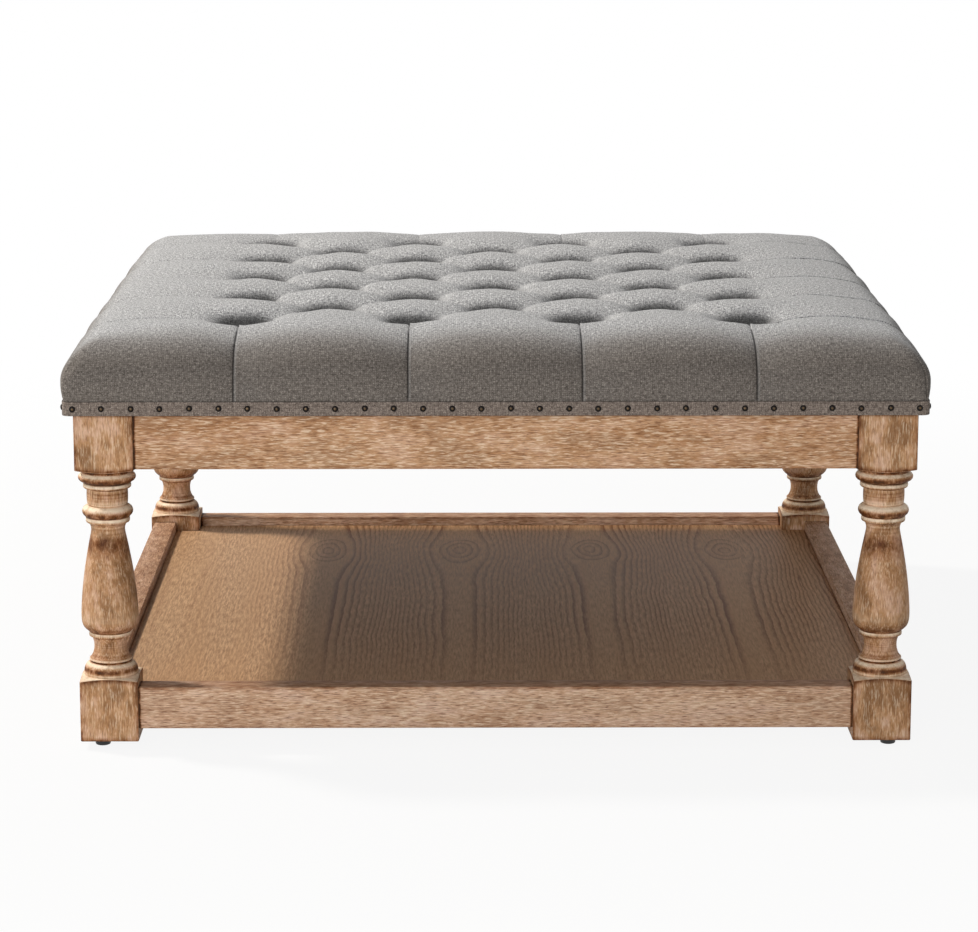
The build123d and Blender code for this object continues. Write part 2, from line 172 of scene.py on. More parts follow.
@dataclass(frozen=True)
class WashedOak:
    """Oak, brushed open, stained and washed with pale paint that was wiped off the high places.

    The eye sees short pale ticks where the wash stayed in the pores, darker bands of late wood, cream
    in the turned grooves and a dark glaze in the joints. Both of these come from the tone attribute, which
    also carries painted light and shade: paler where turned faces look up, darker where they look down and
    along the rails' edges.
    """

    name: str
    grain: Grain
    early: str = "#ddb28d"
    late: str = "#b8845a"
    wash: str = "#ffe9cd"
    pore: str = "#6e4222"
    thin_glaze: str = "#ac7c42"
    glaze: str = "#382009"
    stains: tuple[str, str, str] = ("#7e562c", "#be8f62", "#ddb599")
    roughness: float = 0.62
    ticks: float = 0.6
    streaks: float = 0.7
    mottle: float = 0.38
    banding: float = 0.14
    patch_run: float = 0.4
    pore_run: float = 0.11

    def material(self) -> Material:
        """Builds the material."""
        material, tree, shader = new_material(self.name)
        add = partial(add_node, tree)
        where = add("TexCoord").outputs["Object"]
        stretch = add("Mapping", {0: where, "Scale": self.grain.value})
        # Bands of growth, about 9 mm apart across the board, wandering along it
        bands = add("TexNoise", {"Vector": stretch, "Scale": 110.0, "Detail": 3.0, "Distortion": 0.6})
        fibres = add("TexNoise", {"Vector": stretch, "Scale": 620.0, "Detail": 4.0, "Roughness": 0.7})
        blend = add("Math:MULTIPLY_ADD", [fibres, 0.55, -0.05])
        blend = add("Math:MULTIPLY_ADD", [bands, 0.5, blend])
        wood = add(
            "ValToRGB", [blend], stops=((0.48 - self.banding, self.late), (0.48 + self.banding, self.early))
        )
        # Stain taken up unevenly: patches some 25 mm across, greenish brown to pinkish cream
        drift = add("Mapping", {0: where, "Scale": tuple(max(s, self.patch_run) for s in self.grain.value)})
        patches = add("TexNoise", {"Vector": drift, "Scale": 42.0, "Detail": 4.0, "Roughness": 0.62})
        stain = add("ValToRGB", [patches], stops=tuple(zip((0.37, 0.5, 0.62), self.stains)))
        patched = add("Mix", {6: wood, 7: stain, "Factor": self.mottle}, data_type="RGBA")
        # Pores: ticks about 1 mm wide and 7 mm long that hold the pale wash, drawn twice their width
        short = add("Mapping", {0: where, "Scale": tuple(max(s, self.pore_run) for s in self.grain.value)})
        pores = add(
            "TexNoise", {"Vector": short, "Scale": 880.0, "Detail": 2.0, "Roughness": 0.6, "Distortion": 0.4}
        )
        ticks = add("MapRange", [pores, 0.53, 0.64, 0.0, self.ticks])
        ticked = add("Mix", {"Factor": ticks, 6: patched, 7: linear(self.wash)}, data_type="RGBA")
        dark = add("MapRange", [pores, 0.46, 0.33, 0.0, self.streaks])
        worn = add("Mix", {"Factor": dark, 6: ticked, 7: linear(self.pore)}, data_type="RGBA")
        # Wash and glaze, wiped unevenly, with the painted light and shade that the tone attribute also
        # carries
        tone = add("Attribute", attribute_name="tone")
        smears = add("TexNoise", {"Vector": drift, "Scale": 130.0, "Detail": 3.0, "Roughness": 0.6})
        wiped = add("MapRange", [smears, 0.34, 0.66, 0.5, 1.4])
        strength = add("Math:MULTIPLY", [tone.outputs["Fac"], wiped])
        limed = add("Mix", {"Factor": strength, 6: worn, 7: linear(self.wash)}, data_type="RGBA")
        # The glaze is thin brown over the swell of a bead and nearly black down in a groove
        thin = add("Math:MULTIPLY", [strength, -1.25])
        tinted = add(
            "Mix", {"Factor": thin, 6: limed, 7: linear(self.thin_glaze)}, data_type="RGBA",
            blend_type="MULTIPLY",
        )
        deep = add("MapRange", [strength, -0.4, -1.1, 0.0, 0.9])
        glazed = add("Mix", {"Factor": deep, 6: tinted, 7: linear(self.glaze)}, data_type="RGBA")
        bump = add("Bump", {"Height": pores, "Strength": 0.35, "Distance": 0.4 * MM}, invert=True)
        feed(tree, shader, {
            "Base Color": glazed, "Normal": bump, "Roughness": self.roughness, "Specular IOR Level": 0.25,
        })
        return material


@dataclass(frozen=True)
class OakVeneer:
    """Crown-cut oak veneer in leaves laid side by side, each with an eye where a branch left the trunk.

    The eye sees the same figure five times: lines that part round the eye, close together at the edges
    of a leaf and far apart at its middle.
    """

    name: str
    leaf_width: float = 168 * MM
    first_leaf: float = -39 * MM
    eye_place: float = 261 * MM
    eye_radius: float = 25 * MM
    eye_stretch: float = 0.40
    lines_per_half_leaf: float = 11.0
    crowding: float = 1.7
    rings_per_eye: int = 3
    boldness: float = 1.05
    pale: str = "#e0bb95"
    fibre: str = "#866243"
    tone: str = "#bf9770"
    age: str = "#fff8f2"
    deep: str = "#74421c"

    def figure(
        self, tree: NodeTree, where: NodeSocket
    ) -> tuple[Node, Node]:
        """Builds the lines of late wood, which part round the eyes.

        Args:
            tree: The material's nodes.
            where: Place on the table.

        Returns:
            How much of a line there is at a place, and one inside an eye or nought outside it.
        """
        add = partial(add_node, tree)
        wander = add("TexNoise", {"Vector": where, "Scale": 9.0, "Detail": 1.0, "Roughness": 0.4})
        centred = add("VectorMath:SUBTRACT", [wander.outputs["Color"], (0.5, 0.5, 0.5)])
        pushed = add("VectorMath:MULTIPLY_ADD", [centred, (0.012, 0.05, 0.0), where])
        ragged = add("TexNoise", {"Vector": where, "Scale": 95.0, "Detail": 3.0, "Roughness": 0.65})
        pushed = add("VectorMath:MULTIPLY_ADD", [ragged.outputs["Color"], (0.0035, 0.0, 0.0), pushed])
        axes = add("SeparateXYZ", [pushed])
        half_leaf = self.leaf_width / 2
        across = add("Math:SUBTRACT", [axes.outputs["X"], self.first_leaf])
        across = add("Math:WRAP", [across, half_leaf, -half_leaf])
        along = add("Math:SUBTRACT", [axes.outputs["Y"], self.eye_place])
        along = add("Math:MULTIPLY", [along, self.eye_stretch])
        squared = add("Math:MULTIPLY", [across, across])
        squared = add("Math:MULTIPLY_ADD", [along, along, squared])
        # The fibres flow round the eye as a stream flows round a post
        shadowed = add("Math:DIVIDE", [self.eye_radius**2, squared])
        parted = add("Math:SUBTRACT", [1.0, shadowed])
        parted = add("Math:MAXIMUM", [parted, 0.0])
        stream = add("Math:MULTIPLY", [across, parted])
        stream = add("Math:ABSOLUTE", [stream])
        share = add("Math:DIVIDE", [stream, half_leaf])
        share = add("Math:POWER", [share, self.crowding])
        outside = add("Math:MULTIPLY", [share, self.lines_per_half_leaf])
        inside = add("Math:SQRT", [squared])
        inside = add("Math:DIVIDE", [inside, self.eye_radius / self.rings_per_eye])
        is_eye = add("Math:GREATER_THAN", [shadowed, 1.0])
        phase = add("Mix", {"Factor": is_eye, 2: outside, 3: inside}, data_type="FLOAT")
        ring = add("Math:FRACT", [phase])
        # Late wood darkens slowly and ends at a sharp line
        late = add("MapRange", [ring, 0.35, 0.93, 0.0, 1.0], interpolation_type="SMOOTHSTEP")
        edge = add("MapRange", [ring, 0.93, 1.0, 1.0, 0.0])
        return add("Math:MULTIPLY", [late, edge]), is_eye

    def material(self) -> Material:
        """Builds the material."""
        material, tree, shader = new_material(self.name)
        add = partial(add_node, tree)
        where = add("TexCoord").outputs["Object"]
        line, is_eye = self.figure(tree, where)
        stretch = add("Mapping", {0: where, "Scale": Grain.ALONG_Y.value})
        short = add("Mapping", {0: where, "Scale": (1.0, 0.09, 1.0)})
        fibres = add("TexNoise", {"Vector": short, "Scale": 480.0, "Detail": 3.0, "Roughness": 0.7})
        broad = add("TexNoise", {"Vector": stretch, "Scale": 30.0, "Detail": 2.0})
        base = add("ValToRGB", [fibres], stops=((0.37, self.fibre), (0.63, self.pale)))
        toned = add("Mix", {"Factor": broad, 6: base, 7: linear(self.tone)}, data_type="RGBA")
        # The leaf on the left was cut from plainer wood, and all of them grow plainer towards the front. The
        # same masks
        # paint shade: the wood is tinted darker and warmer away from the lit left end, and at that end
        # towards the front.
        place = add("SeparateXYZ", [where])
        figured = add("MapRange", [place.outputs["X"], -0.29, -0.2, 0.28, 1.0])
        forward = add("MapRange", [place.outputs["Y"], -0.39, -0.1, 0.2, 1.0])
        bold = add("Math:MULTIPLY", [figured, forward])
        bold = add("Math:MULTIPLY", [bold, self.boldness])
        blotches = add("Math:MULTIPLY", [broad, 1.6])
        between = add("Math:MULTIPLY_ADD", [fibres, -1.6, 1.75])
        outside = add("Math:MULTIPLY_ADD", [is_eye, -0.15, 1.0])
        for factor in (blotches, between, outside):
            bold = add("Math:MULTIPLY", [bold, factor])
        plainer = add("Math:MULTIPLY_ADD", [forward, -1.0, 1.0])
        shade = add("Math:MAXIMUM", [figured, plainer])
        # Painted shade under the top
        painted_shade_mix = add(
            "Mix", {"Factor": shade, 6: toned, 7: linear(self.age)}, data_type="RGBA", blend_type="MULTIPLY"
        )
        weight = add("Math:MULTIPLY", [line, bold])
        lined = add("Mix", {"Factor": weight, 6: painted_shade_mix, 7: linear(self.deep)}, data_type="RGBA")
        bump = add("Bump", {"Height": fibres, "Strength": 0.2, "Distance": 0.3 * MM}, invert=True)
        feed(
            tree, shader, {"Base Color": lined, "Normal": bump, "Roughness": 0.55, "Specular IOR Level": 0.15}
        )
        return material


@dataclass(frozen=True)
class LinenCloth:
    """Linen-look polyester, plain woven from slubby yarns of several greys.

    The eye sees short flecks both ways. The sides are painted shade: the side colours are a darker copy of
    the top ones, mixed in by an attribute that is one on the sides. The pit attribute paints shade, near
    black, where a tuft is deepest. The lip attribute is above nought along the raised side of a fold, where
    it paints a highlight.
    The yarns are about 1 mm apart, drawn at 2.1 mm so that they show.
    """

    name: str
    # The top colours are the lit cloth; the side colours are a painted shaded copy of them
    top_shades: tuple[str, str, str] = ("#545557", "#b6b6b8", "#ffffff")
    side_shades: tuple[str, str, str] = ("#46403b", "#706963", "#9d958d")
    painted_pit_shade: str = "#1a1a1a"
    painted_lip_highlight: str = "#f4f4f4"
    yarn_pitch: float = 2.1 * MM
    bloom: float = 0.1
    bloom_shade: str = "#f1f4f8"

    def material(self) -> Material:
        """Builds the material."""
        material, tree, shader = new_material(self.name)
        add = partial(add_node, tree)
        flat = add("UVMap", uv_map="Cloth")
        slubs = add("TexNoise", {"Vector": flat, "Scale": 210.0, "Detail": 1.0})
        where = add("VectorMath:MULTIPLY_ADD", [slubs.outputs["Color"], (1.6 * MM, 1.6 * MM, 0.0), flat])
        yarns = []
        for stretch in ((1.0, 0.4, 1.0), (0.4, 1.0, 1.0)):
            laid = add("Mapping", {0: where, "Scale": stretch})
            yarns.append(add("TexNoise", {"Vector": laid, "Scale": 520.0, "Detail": 2.0, "Roughness": 0.75}))
        axes = add("SeparateXYZ", [where])
        waves = []
        for axis in ("X", "Y"):
            turned = add("Math:MULTIPLY", [axes.outputs[axis], math.pi / self.yarn_pitch])
            waves.append(add("Math:SINE", [turned]))
        over = add("Math:MULTIPLY", [waves[0], waves[1]])
        on_top = add("MapRange", [over, -0.25, 0.25], interpolation_type="SMOOTHSTEP")
        yarn = add("Mix", {"Factor": on_top, 2: yarns[0], 3: yarns[1]}, data_type="FLOAT")
        gap = add("Math:ABSOLUTE", [over])
        sunk = add("MapRange", [gap, 0.0, 0.9, 0.05, -0.035])
        level = add("Math:SUBTRACT", [yarn, sunk])
        # Thick yarns that run from front to back, seen along their length on the top
        thick = add("Mapping", {0: where, "Scale": (1.0, 0.35, 1.0)})
        thick = add("TexNoise", {"Vector": thick, "Scale": 480.0, "Detail": 2.0, "Roughness": 0.6})
        ribbed = add("Math:MULTIPLY_ADD", [thick, 0.25, level])
        ribbed = add("Math:SUBTRACT", [ribbed, 0.125])
        faces = [
            add("ValToRGB", [tread], stops=tuple(zip((0.28, 0.49, 0.7), shades)))
            for tread, shades in ((ribbed, self.top_shades), (level, self.side_shades))
        ]
        # Painted shade: the darker side colours are mixed in down the sides
        nap = add("Attribute", attribute_name="nap")
        laid = add("Mix", {"Factor": nap.outputs["Fac"], 6: faces[0], 7: faces[1]}, data_type="RGBA")
        # Painted shade, near black, deep in each tuft and on the falling sides of the edge pleats
        pit = add("Attribute", attribute_name="pit")
        woven = add(
            "Mix", {"Factor": pit.outputs["Fac"], 6: laid, 7: linear(self.painted_pit_shade)}, data_type="RGBA"
        )
        # Painted highlight along the raised side of each fold
        lip = add("Attribute", attribute_name="lip")
        woven = add(
            "Mix", {"Factor": lip.outputs["Fac"], 6: woven, 7: linear(self.painted_lip_highlight)}, data_type="RGBA"
        )
        height = add("Math:ADD", [gap, yarn])
        bump = add("Bump", {"Height": height, "Strength": 0.4, "Distance": 0.5 * MM})
        feed(tree, shader, {
            "Base Color": woven, "Normal": bump, "Roughness": 0.9, "Specular IOR Level": 0.2,
            "Sheen Weight": self.bloom, "Sheen Roughness": 0.45, "Sheen Tint": linear(self.bloom_shade),
        })
        return material


@dataclass(frozen=True)
class Plain:
    """A finish of one mottled colour, for pieces that are small or hidden.

    The mottle is a noise of a real size, so the surface still shows what it is made of.
    """

    name: str
    light: str
    dark: str
    mottle_size: float
    stretch: tuple[float, float, float] = (1.0, 1.0, 1.0)
    roughness: float = 0.6
    metallic: float = 0.0
    relief: float = 0.1 * MM

    def material(self) -> Material:
        """Builds the material."""
        material, tree, shader = new_material(self.name)
        add = partial(add_node, tree)
        where = add("TexCoord").outputs["Object"]
        laid = add("Mapping", {0: where, "Scale": self.stretch})
        mottle = add("TexNoise", {"Vector": laid, "Scale": 1 / self.mottle_size, "Detail": 4.0})
        colour = add("ValToRGB", [mottle], stops=((0.3, self.dark), (0.7, self.light)))
        bump = add("Bump", {"Height": mottle, "Strength": 0.4, "Distance": self.relief})
        feed(tree, shader, {
            "Base Color": colour, "Normal": bump, "Roughness": self.roughness, "Metallic": self.metallic,
        })
        return material


@dataclass(frozen=True)
class AntiqueNail:
    """Steel nail heads, blackened and rubbed back to bronze on the crown, which the tone attribute marks; the
    bright crown is also a painted reflection.
    """

    name: str
    # The crown's bronze is wear and also a painted reflection of the lamps; the black rim is the blackened
    # steel
    stops: tuple[tuple[float, str], ...] = ((0.7, "#0b0806"), (0.93, "#211912"), (1.0, "#5e4b33"))

    def material(self) -> Material:
        """Builds the material."""
        material, tree, shader = new_material(self.name)
        tone = add_node(tree, "Attribute", attribute_name="tone")
        rubbed_and_highlit = add_node(tree, "ValToRGB", [tone.outputs["Fac"]], stops=self.stops)
        feed(tree, shader, {"Base Color": rubbed_and_highlit, "Roughness": 0.38, "Metallic": 0.75})
        return material


def mesh_piece(
    name: str,
    points: np.ndarray,
    faces: Sequence[Sequence[int]],
    material: Material,
    tone: np.ndarray | None = None,
    smooth_below: float = 40.0,
) -> Object:
    """Makes a mesh object from points that are already in place.

    Args:
        name: The piece's name.
        points: One row of x, y and z for each vertex, in metres.
        faces: Vertex numbers of each face, anticlockwise seen from outside.
        material: The piece's finish.
        tone: Wash, above zero, or glaze, below it, of each vertex.
        smooth_below: Edges that turn by less than this many degrees are shaded smooth.

    Returns:
        The new object, linked to the scene.
    """
    mesh = bpy.data.meshes.new(name)
    mesh.from_pydata(points.tolist(), [], faces)
    mesh.materials.append(material)
    if tone is not None:
        mark(mesh, "tone", tone)
    mesh.shade_smooth()
    mesh.set_sharp_from_angle(angle=math.radians(smooth_below))
    return add_object(name, mesh)


def fit(piece: Object, slot: str, *nodes: str) -> Object:
    """Ties a finished piece to the table's body and hides the imported nodes that it stands for."""
    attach(piece, BODY)
    if nodes:
        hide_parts(*nodes)
    LOG.info("%s stands for %s", piece.name, ", ".join(nodes) or "nothing in the packed part")
    return piece


def mark(mesh: Mesh, name: str, values: np.ndarray) -> None:
    """Stores one number for each vertex, which the materials read by its name."""
    layer = mesh.attributes.new(name, "FLOAT", "POINT")
    layer.data.foreach_set("value", np.asarray(values, np.float32))


def lay_cloth(mesh: Mesh, flat: np.ndarray) -> None:
    """Stores where each vertex lies on the flattened cloth, in metres, for the weave.

    Args:
        mesh: The cloth's mesh.
        flat: One row for each vertex.
    """
    layer = mesh.uv_layers.get("Cloth") or mesh.uv_layers.new(name="Cloth")
    indices = np.zeros(len(mesh.loops), np.int32)
    mesh.loops.foreach_get("vertex_index", indices)
    layer.data.foreach_set("uv", flat[indices].astype(np.float32).ravel())


def strip(first: Sequence[int], second: Sequence[int]) -> list[tuple[int, ...]]:
    """Faces between two loops of vertex numbers; where a loop repeats a vertex, the face is a triangle."""
    faces = []
    for k in range(len(first)):
        after = (k + 1) % len(first)
        face = (first[k], second[k], second[after], first[after])
        kept = tuple(v for n, v in enumerate(face) if v != face[n - 1])
        if len(kept) > 2:
            faces.append(kept)
    return faces


def cells(number: np.ndarray) -> np.ndarray:
    """Four vertex numbers for each cell of a grid of them, anticlockwise seen from above."""
    corners = [number[:-1, :-1], number[1:, :-1], number[1:, 1:], number[:-1, 1:]]
    return np.stack(corners, axis=-1).reshape(-1, 4)


def tube(rings: int, count: int, flip: bool) -> list[tuple[int, ...]]:
    """Faces of a closed tube.

    Args:
        rings: How many rings it has; their vertices are numbered one ring after another.
        count: Vertices in each ring.
        flip: Whether the rings run anticlockwise seen from the last one.

    Returns:
        Both ends, then the strips.
    """
    loops = [list(range(n * count, (n + 1) * count)) for n in range(rings)]
    faces = [tuple(loops[0]), tuple(reversed(loops[-1]))]
    for first, second in zip(loops, loops[1:]):
        faces += strip(first, second)
    return [tuple(reversed(face)) for face in faces] if flip else faces


def revolve(
    outline: Sequence[tuple[float, float]], steps: int, x: float = 0.0, y: float = 0.0, start: int = 0
) -> tuple[list[tuple[float, float, float]], list[tuple[int, ...]]]:
    """Turns a half outline about an upright axis.

    Args:
        outline: Radius and height of each point, from the lower pole to the upper one.
        steps: Points round each ring.
        x: Place of the axis.
        y: Place of the axis.
        start: Number of the first vertex.

    Returns:
        The points and the faces.
    """
    turns = np.linspace(0, 2 * math.pi, steps, endpoint=False)
    points = [(x, y, outline[0][1])]
    for r, z in outline[1:-1]:
        points += [(x + r * math.cos(t), y + r * math.sin(t), z) for t in turns]
    points.append((x, y, outline[-1][1]))
    last = start + len(points) - 1
    rings = [list(range(first, first + steps)) for first in range(start + 1, last, steps)]
    rings = [[start] * steps, *rings, [last] * steps]
    faces = [tuple(reversed(f)) for lower, upper in zip(rings, rings[1:]) for f in strip(lower, upper)]
    return points, faces


def add_object(name: str, data: ID) -> Object:
    """Makes an object of a mesh, lamp or camera and links it to the scene."""
    made = bpy.data.objects.new(name, data)
    bpy.context.scene.collection.objects.link(made)
    return made


@dataclass
class TurnedLeg:
    """One leg: a square block at each end and a turned stretch between them, made as one closed skin."""

    side: float
    bottom: float
    top: float
    corner_round: float = 1.3 * MM
    arris_reach: float = 2.6 * MM
    shoulder_radius: float = 28.6 * MM
    shoulder_fall: float = 3.3 * MM
    lower_shoulder: float = 77.3 * MM
    upper_shoulder: float = 300.5 * MM
    edge: float = 0.7 * MM
    # Turned members from the lower shoulder up: radius and height in millimetres, and tone. The tone is wash
    # and glaze, with painted light on the upper halves of the beads, which face up, and painted shade on
    # their lower halves
    members: tuple[tuple[float, float, float], ...] = (
        (28.9, 79.0, 0.5), (28.8, 80.7, -0.35), (28.6, 82.5, -0.85), (28.1, 84.4, -0.75), (27.3, 86.4, -0.05),
        (26.0, 88.3, 0.75), (23.9, 89.8, 0.85), (21.6, 90.7, -0.7), (21.0, 91.4, -1.0), (21.3, 92.1, -0.8),
        (22.6, 92.6, 0.2), (22.9, 93.5, 0.5), (22.6, 94.5, 0.35), (21.9, 95.1, -0.35), (20.5, 96.6, -0.25),
        (19.0, 99.6, -0.2), (17.9, 103.2, -0.1), (17.5, 107.0, -0.15), (17.6, 110.8, -0.1),
        (18.3, 114.3, -0.1), (19.5, 117.4, -0.35), (20.0, 118.3, -1.0), (21.6, 118.6, -0.6),
        (22.5, 119.2, -0.4), (22.8, 121.1, 0.3), (22.5, 123.0, 0.95), (21.7, 123.8, -0.9),
        (22.4, 124.3, -0.8), (24.4, 125.6, -0.55), (26.3, 127.3, -0.6), (28.0, 129.2, -0.45),
        (29.2, 131.6, -0.25), (30.0, 134.7, -0.08), (30.4, 138.5, 0.1), (30.45, 143.0, 0.05),
        (30.3, 148.0, 0.0), (29.9, 154.5, -0.05), (29.4, 161.5, -0.1), (28.7, 169.0, -0.12),
        (27.8, 177.0, -0.1), (26.8, 185.0, -0.1), (25.5, 193.5, -0.08), (24.1, 202.0, -0.1),
        (22.5, 211.0, -0.4), (21.0, 219.0, -0.62), (19.5, 226.3, -0.5), (18.4, 231.6, -0.15),
        (17.9, 235.0, 0.0), (18.1, 237.6, 0.0), (18.9, 240.2, -0.1), (20.4, 242.4, -0.3), (21.3, 243.1, -1.0),
        (22.9, 243.5, -0.1), (23.4, 244.6, -0.1), (23.5, 246.4, 0.8), (23.3, 248.3, 0.9), (22.8, 249.0, -0.9),
        (24.1, 249.9, -0.85), (25.7, 251.4, -0.85), (26.8, 253.5, -0.8), (27.1, 255.3, -0.5),
        (26.7, 257.3, 0.4), (25.7, 259.2, 1.0), (24.1, 260.6, 1.0), (22.0, 261.5, 0.8), (20.2, 262.0, 0.2),
        (20.3, 262.6, 0.3), (21.4, 263.3, 0.6), (21.7, 265.1, 0.2), (21.9, 268.3, -0.15), (22.0, 272.4, -0.2),
        (21.9, 276.4, -0.25), (21.7, 279.3, 0.1), (21.9, 280.2, -1.0), (24.6, 280.6, -0.7),
        (25.4, 281.4, -0.4), (25.6, 283.0, 0.7), (25.3, 284.9, 1.0), (24.0, 285.7, 0.1), (22.6, 286.2, -1.0),
        (24.4, 286.7, -0.9), (27.0, 287.4, -0.85), (29.1, 288.7, -0.9), (30.3, 290.3, -0.8),
        (30.7, 291.9, -0.6), (30.4, 293.5, -0.1), (29.5, 294.9, 0.75), (28.2, 296.1, 1.0), (27.0, 296.9, 0.8),
        (26.4, 297.5, -0.4), (26.3, 298.6, -0.8), (26.6, 299.8, -0.9),
    )
    # Where the tool left fine rings round the necks, in millimetres
    necks: tuple[tuple[float, float], ...] = ((97.5, 117.0), (229.0, 241.0), (265.0, 279.0))

    def angles(self) -> np.ndarray:
        """Directions round the leg, closer together at the arrises of the blocks."""
        half = self.side / 2
        start, worn = (
            math.degrees(math.atan2(half - reach, half)) for reach in (self.corner_round, self.arris_reach)
        )
        corner = [start, (start + 45) / 2, 45, 90 - (start + 45) / 2]
        face = [90 - start] + list(np.linspace(90 - worn, 90 + worn, 18))
        return np.radians([quarter * 90 + a for quarter in range(4) for a in corner + face])

    def block(self, angles: np.ndarray) -> np.ndarray:
        """Distance from the axis to the skin of a square block with rounded arrises, by direction."""
        half, round_ = self.side / 2, self.corner_round
        turned = np.abs((angles + math.pi / 4) % (math.pi / 2) - math.pi / 4)
        flat = half / np.cos(turned)
        inner = half - round_
        along = inner * (np.cos(turned) + np.sin(turned))
        arc = along + np.sqrt(np.maximum(along**2 - 2 * inner**2 + round_**2, 0))
        return np.where(np.tan(turned) * half <= inner, flat, arc)

    def build(self, name: str, place: Vector, material: Material) -> Object:
        """Makes the leg.

        Args:
            name: The piece's name.
            place: Plan position of the leg's axis.
            material: Oak with its grain along Z.

        Returns:
            The finished leg.
        """
        angles = self.angles()
        square = self.block(angles)
        arris = -0.5 * np.clip((square - 0.668 * self.side) / (1.2 * MM), 0, 1)
        slope = self.shoulder_fall / (self.side / math.sqrt(2) - self.shoulder_radius)
        rows: list[tuple[np.ndarray, np.ndarray, np.ndarray]] = []

        def row(radius: np.ndarray | float, height: np.ndarray | float, tone: np.ndarray | float) -> None:
            """Adds one ring of vertices."""
            flat = np.zeros(len(angles))
            rows.append((flat + radius, flat + height, flat + tone))

        def shoulder(level: float, down: float) -> list[tuple[np.ndarray, np.ndarray, np.ndarray]]:
            """Rings of one shoulder, from the block's side to the turned neck."""
            flat = np.zeros(len(angles))
            edge = level + down * (slope * (square - self.shoulder_radius) + self.edge)
            rings = [(square, edge + down * 5 * MM, arris), (square, edge, flat - 0.75)]
            rings.append((square - 0.2 * MM, rings[1][1] - down * 0.75 * self.edge, flat - 0.1))
            # Wash over the shoulder's face; on the lower shoulder, which faces up, it is partly painted light
            for share, tone in ((0.06, 0.5), (0.4, 0.9), (0.8, 0.8), (1.0, 0.2)):
                radius = square + (self.shoulder_radius - square) * share
                rings.append((radius, level + down * slope * (radius - self.shoulder_radius), flat + tone))
            return rings

        row(square - self.edge, self.bottom, -0.7)
        row(square, self.bottom + self.edge, -0.6)
        row(square, self.bottom + 7 * self.edge, arris)
        rows.extend(shoulder(self.lower_shoulder, -1))
        radii, heights, tones = np.array(self.members).T
        rings = np.concatenate([np.arange(low, high, 1.4) for low, high in self.necks])
        chance = np.random.default_rng(3)
        marks = {level: chance.uniform(-0.32, 0.22) for level in rings.tolist()}
        for level in sorted(heights.tolist() + rings.tolist()):
            tone = np.interp(level, heights, tones) + marks.get(level, 0.0)
            row(np.interp(level, heights, radii) * MM, level * MM, tone)
        upper = shoulder(self.upper_shoulder, 1)
        # Painted shade on the upper shoulder, which faces down under the block
        upper[3:] = [(radius, height, tone - 1.2) for radius, height, tone in upper[3:]]
        rows.extend(reversed(upper))
        row(square, self.top - 6 * self.edge, arris)
        row(square, self.top - self.edge, -0.6)
        row(square - self.edge, self.top, -0.6)
        x, y = np.cos(angles), np.sin(angles)
        points = [np.stack([place.x + r * x, place.y + r * y, h], axis=-1) for r, h, _ in rows]
        faces = tube(len(rows), len(angles), flip=True)
        tones = np.concatenate([tone for _, _, tone in rows])
        return mesh_piece(name, np.concatenate(points), faces, material, tones, smooth_below=50)


@dataclass
class Rail:
    """One apron or stretcher: a board with eased arrises and a tenon at each end."""

    thickness: float
    low: float
    high: float
    length: float
    tenon_length: float
    tenon_height: float
    tenon_thickness: float
    ease: float = 1.1 * MM
    glaze_reach: float = 2.0 * MM
    # Painted shade along the top edge, under the band, and along the bottom edge
    top_edge_shade: float = -0.7
    low_edge_shade: float = -0.25
    edge_lines: tuple[float, float] = (1.8 * MM, 4.0 * MM)

    def section(self, width: float, height: float, ease: float) -> np.ndarray:
        """Loop round a section of the board, with its arrises rounded.

        Args:
            width: Size across the board.
            height: Size up the board.
            ease: Radius of the arrises.

        Returns:
            Rows of offset across and offset up, anticlockwise.
        """
        loop = []
        for quarter, (x, y) in enumerate(((1, 1), (-1, 1), (-1, -1), (1, -1))):
            for step in range(4):
                turn = math.radians(90 * quarter + 30 * step)
                across = x * (width / 2 - ease) + ease * math.cos(turn)
                loop.append((across, y * (height / 2 - ease) + ease * math.sin(turn)))
            if quarter in (1, 3):
                levels = [y * (height / 2 - inset) for inset in self.edge_lines]
                loop += [(x * width / 2, level) for level in levels + [-level for level in levels[::-1]]]
        return np.array(loop)

    def build(self, name: str, side: Side, distance: float, material: Material) -> Object:
        """Makes the board.

        Args:
            name: The piece's name.
            side: Side of the table that it stands on.
            distance: How far its middle is from the middle of the table.
            material: Oak with its grain along the board.

        Returns:
            The finished board.
        """
        middle, height = (self.low + self.high) / 2, self.high - self.low
        board = self.section(self.thickness, height, self.ease)
        shoulder = self.section(self.thickness - 0.6 * self.ease, height - 0.6 * self.ease, self.ease)
        tenon = self.section(self.tenon_thickness, self.tenon_height, 0.5 * self.ease)
        end = self.length / 2
        stations = [
            (end + self.tenon_length, tenon, 0.0),
            (end, tenon, 0.0),
            (end, shoulder, -1.5),
            (end - 0.3 * self.ease, board, -1.4),
            (end - 0.6 * self.glaze_reach, board, -1.1),
            (end - 1.6 * self.glaze_reach, board, -0.1),
            (end / 3, board, 0.0),
        ]
        stations = [(-x, loop, tone) for x, loop, tone in stations] + list(reversed(stations))
        points, tones = [], []
        for x, loop, tone in stations:
            plan = side.place(np.full(len(loop), x), distance + loop[:, 0])
            points.append(np.column_stack([plan, middle + loop[:, 1]]))
            # Painted shade along the top and bottom edges, joined to the dark glaze of the joints
            outer = height / 2 - 1.1 * self.edge_lines[0]
            painted_edge_shade = np.where(loop[:, 1] < -outer, self.low_edge_shade, 0.0)
            painted_edge_shade = np.where(loop[:, 1] > outer, self.top_edge_shade, painted_edge_shade)
            tones.append(np.minimum(np.full(len(loop), tone), painted_edge_shade))
        faces = tube(len(stations), len(board), flip=False)
        return mesh_piece(
            name, np.concatenate(points), faces, material, np.concatenate(tones), smooth_below=35
        )


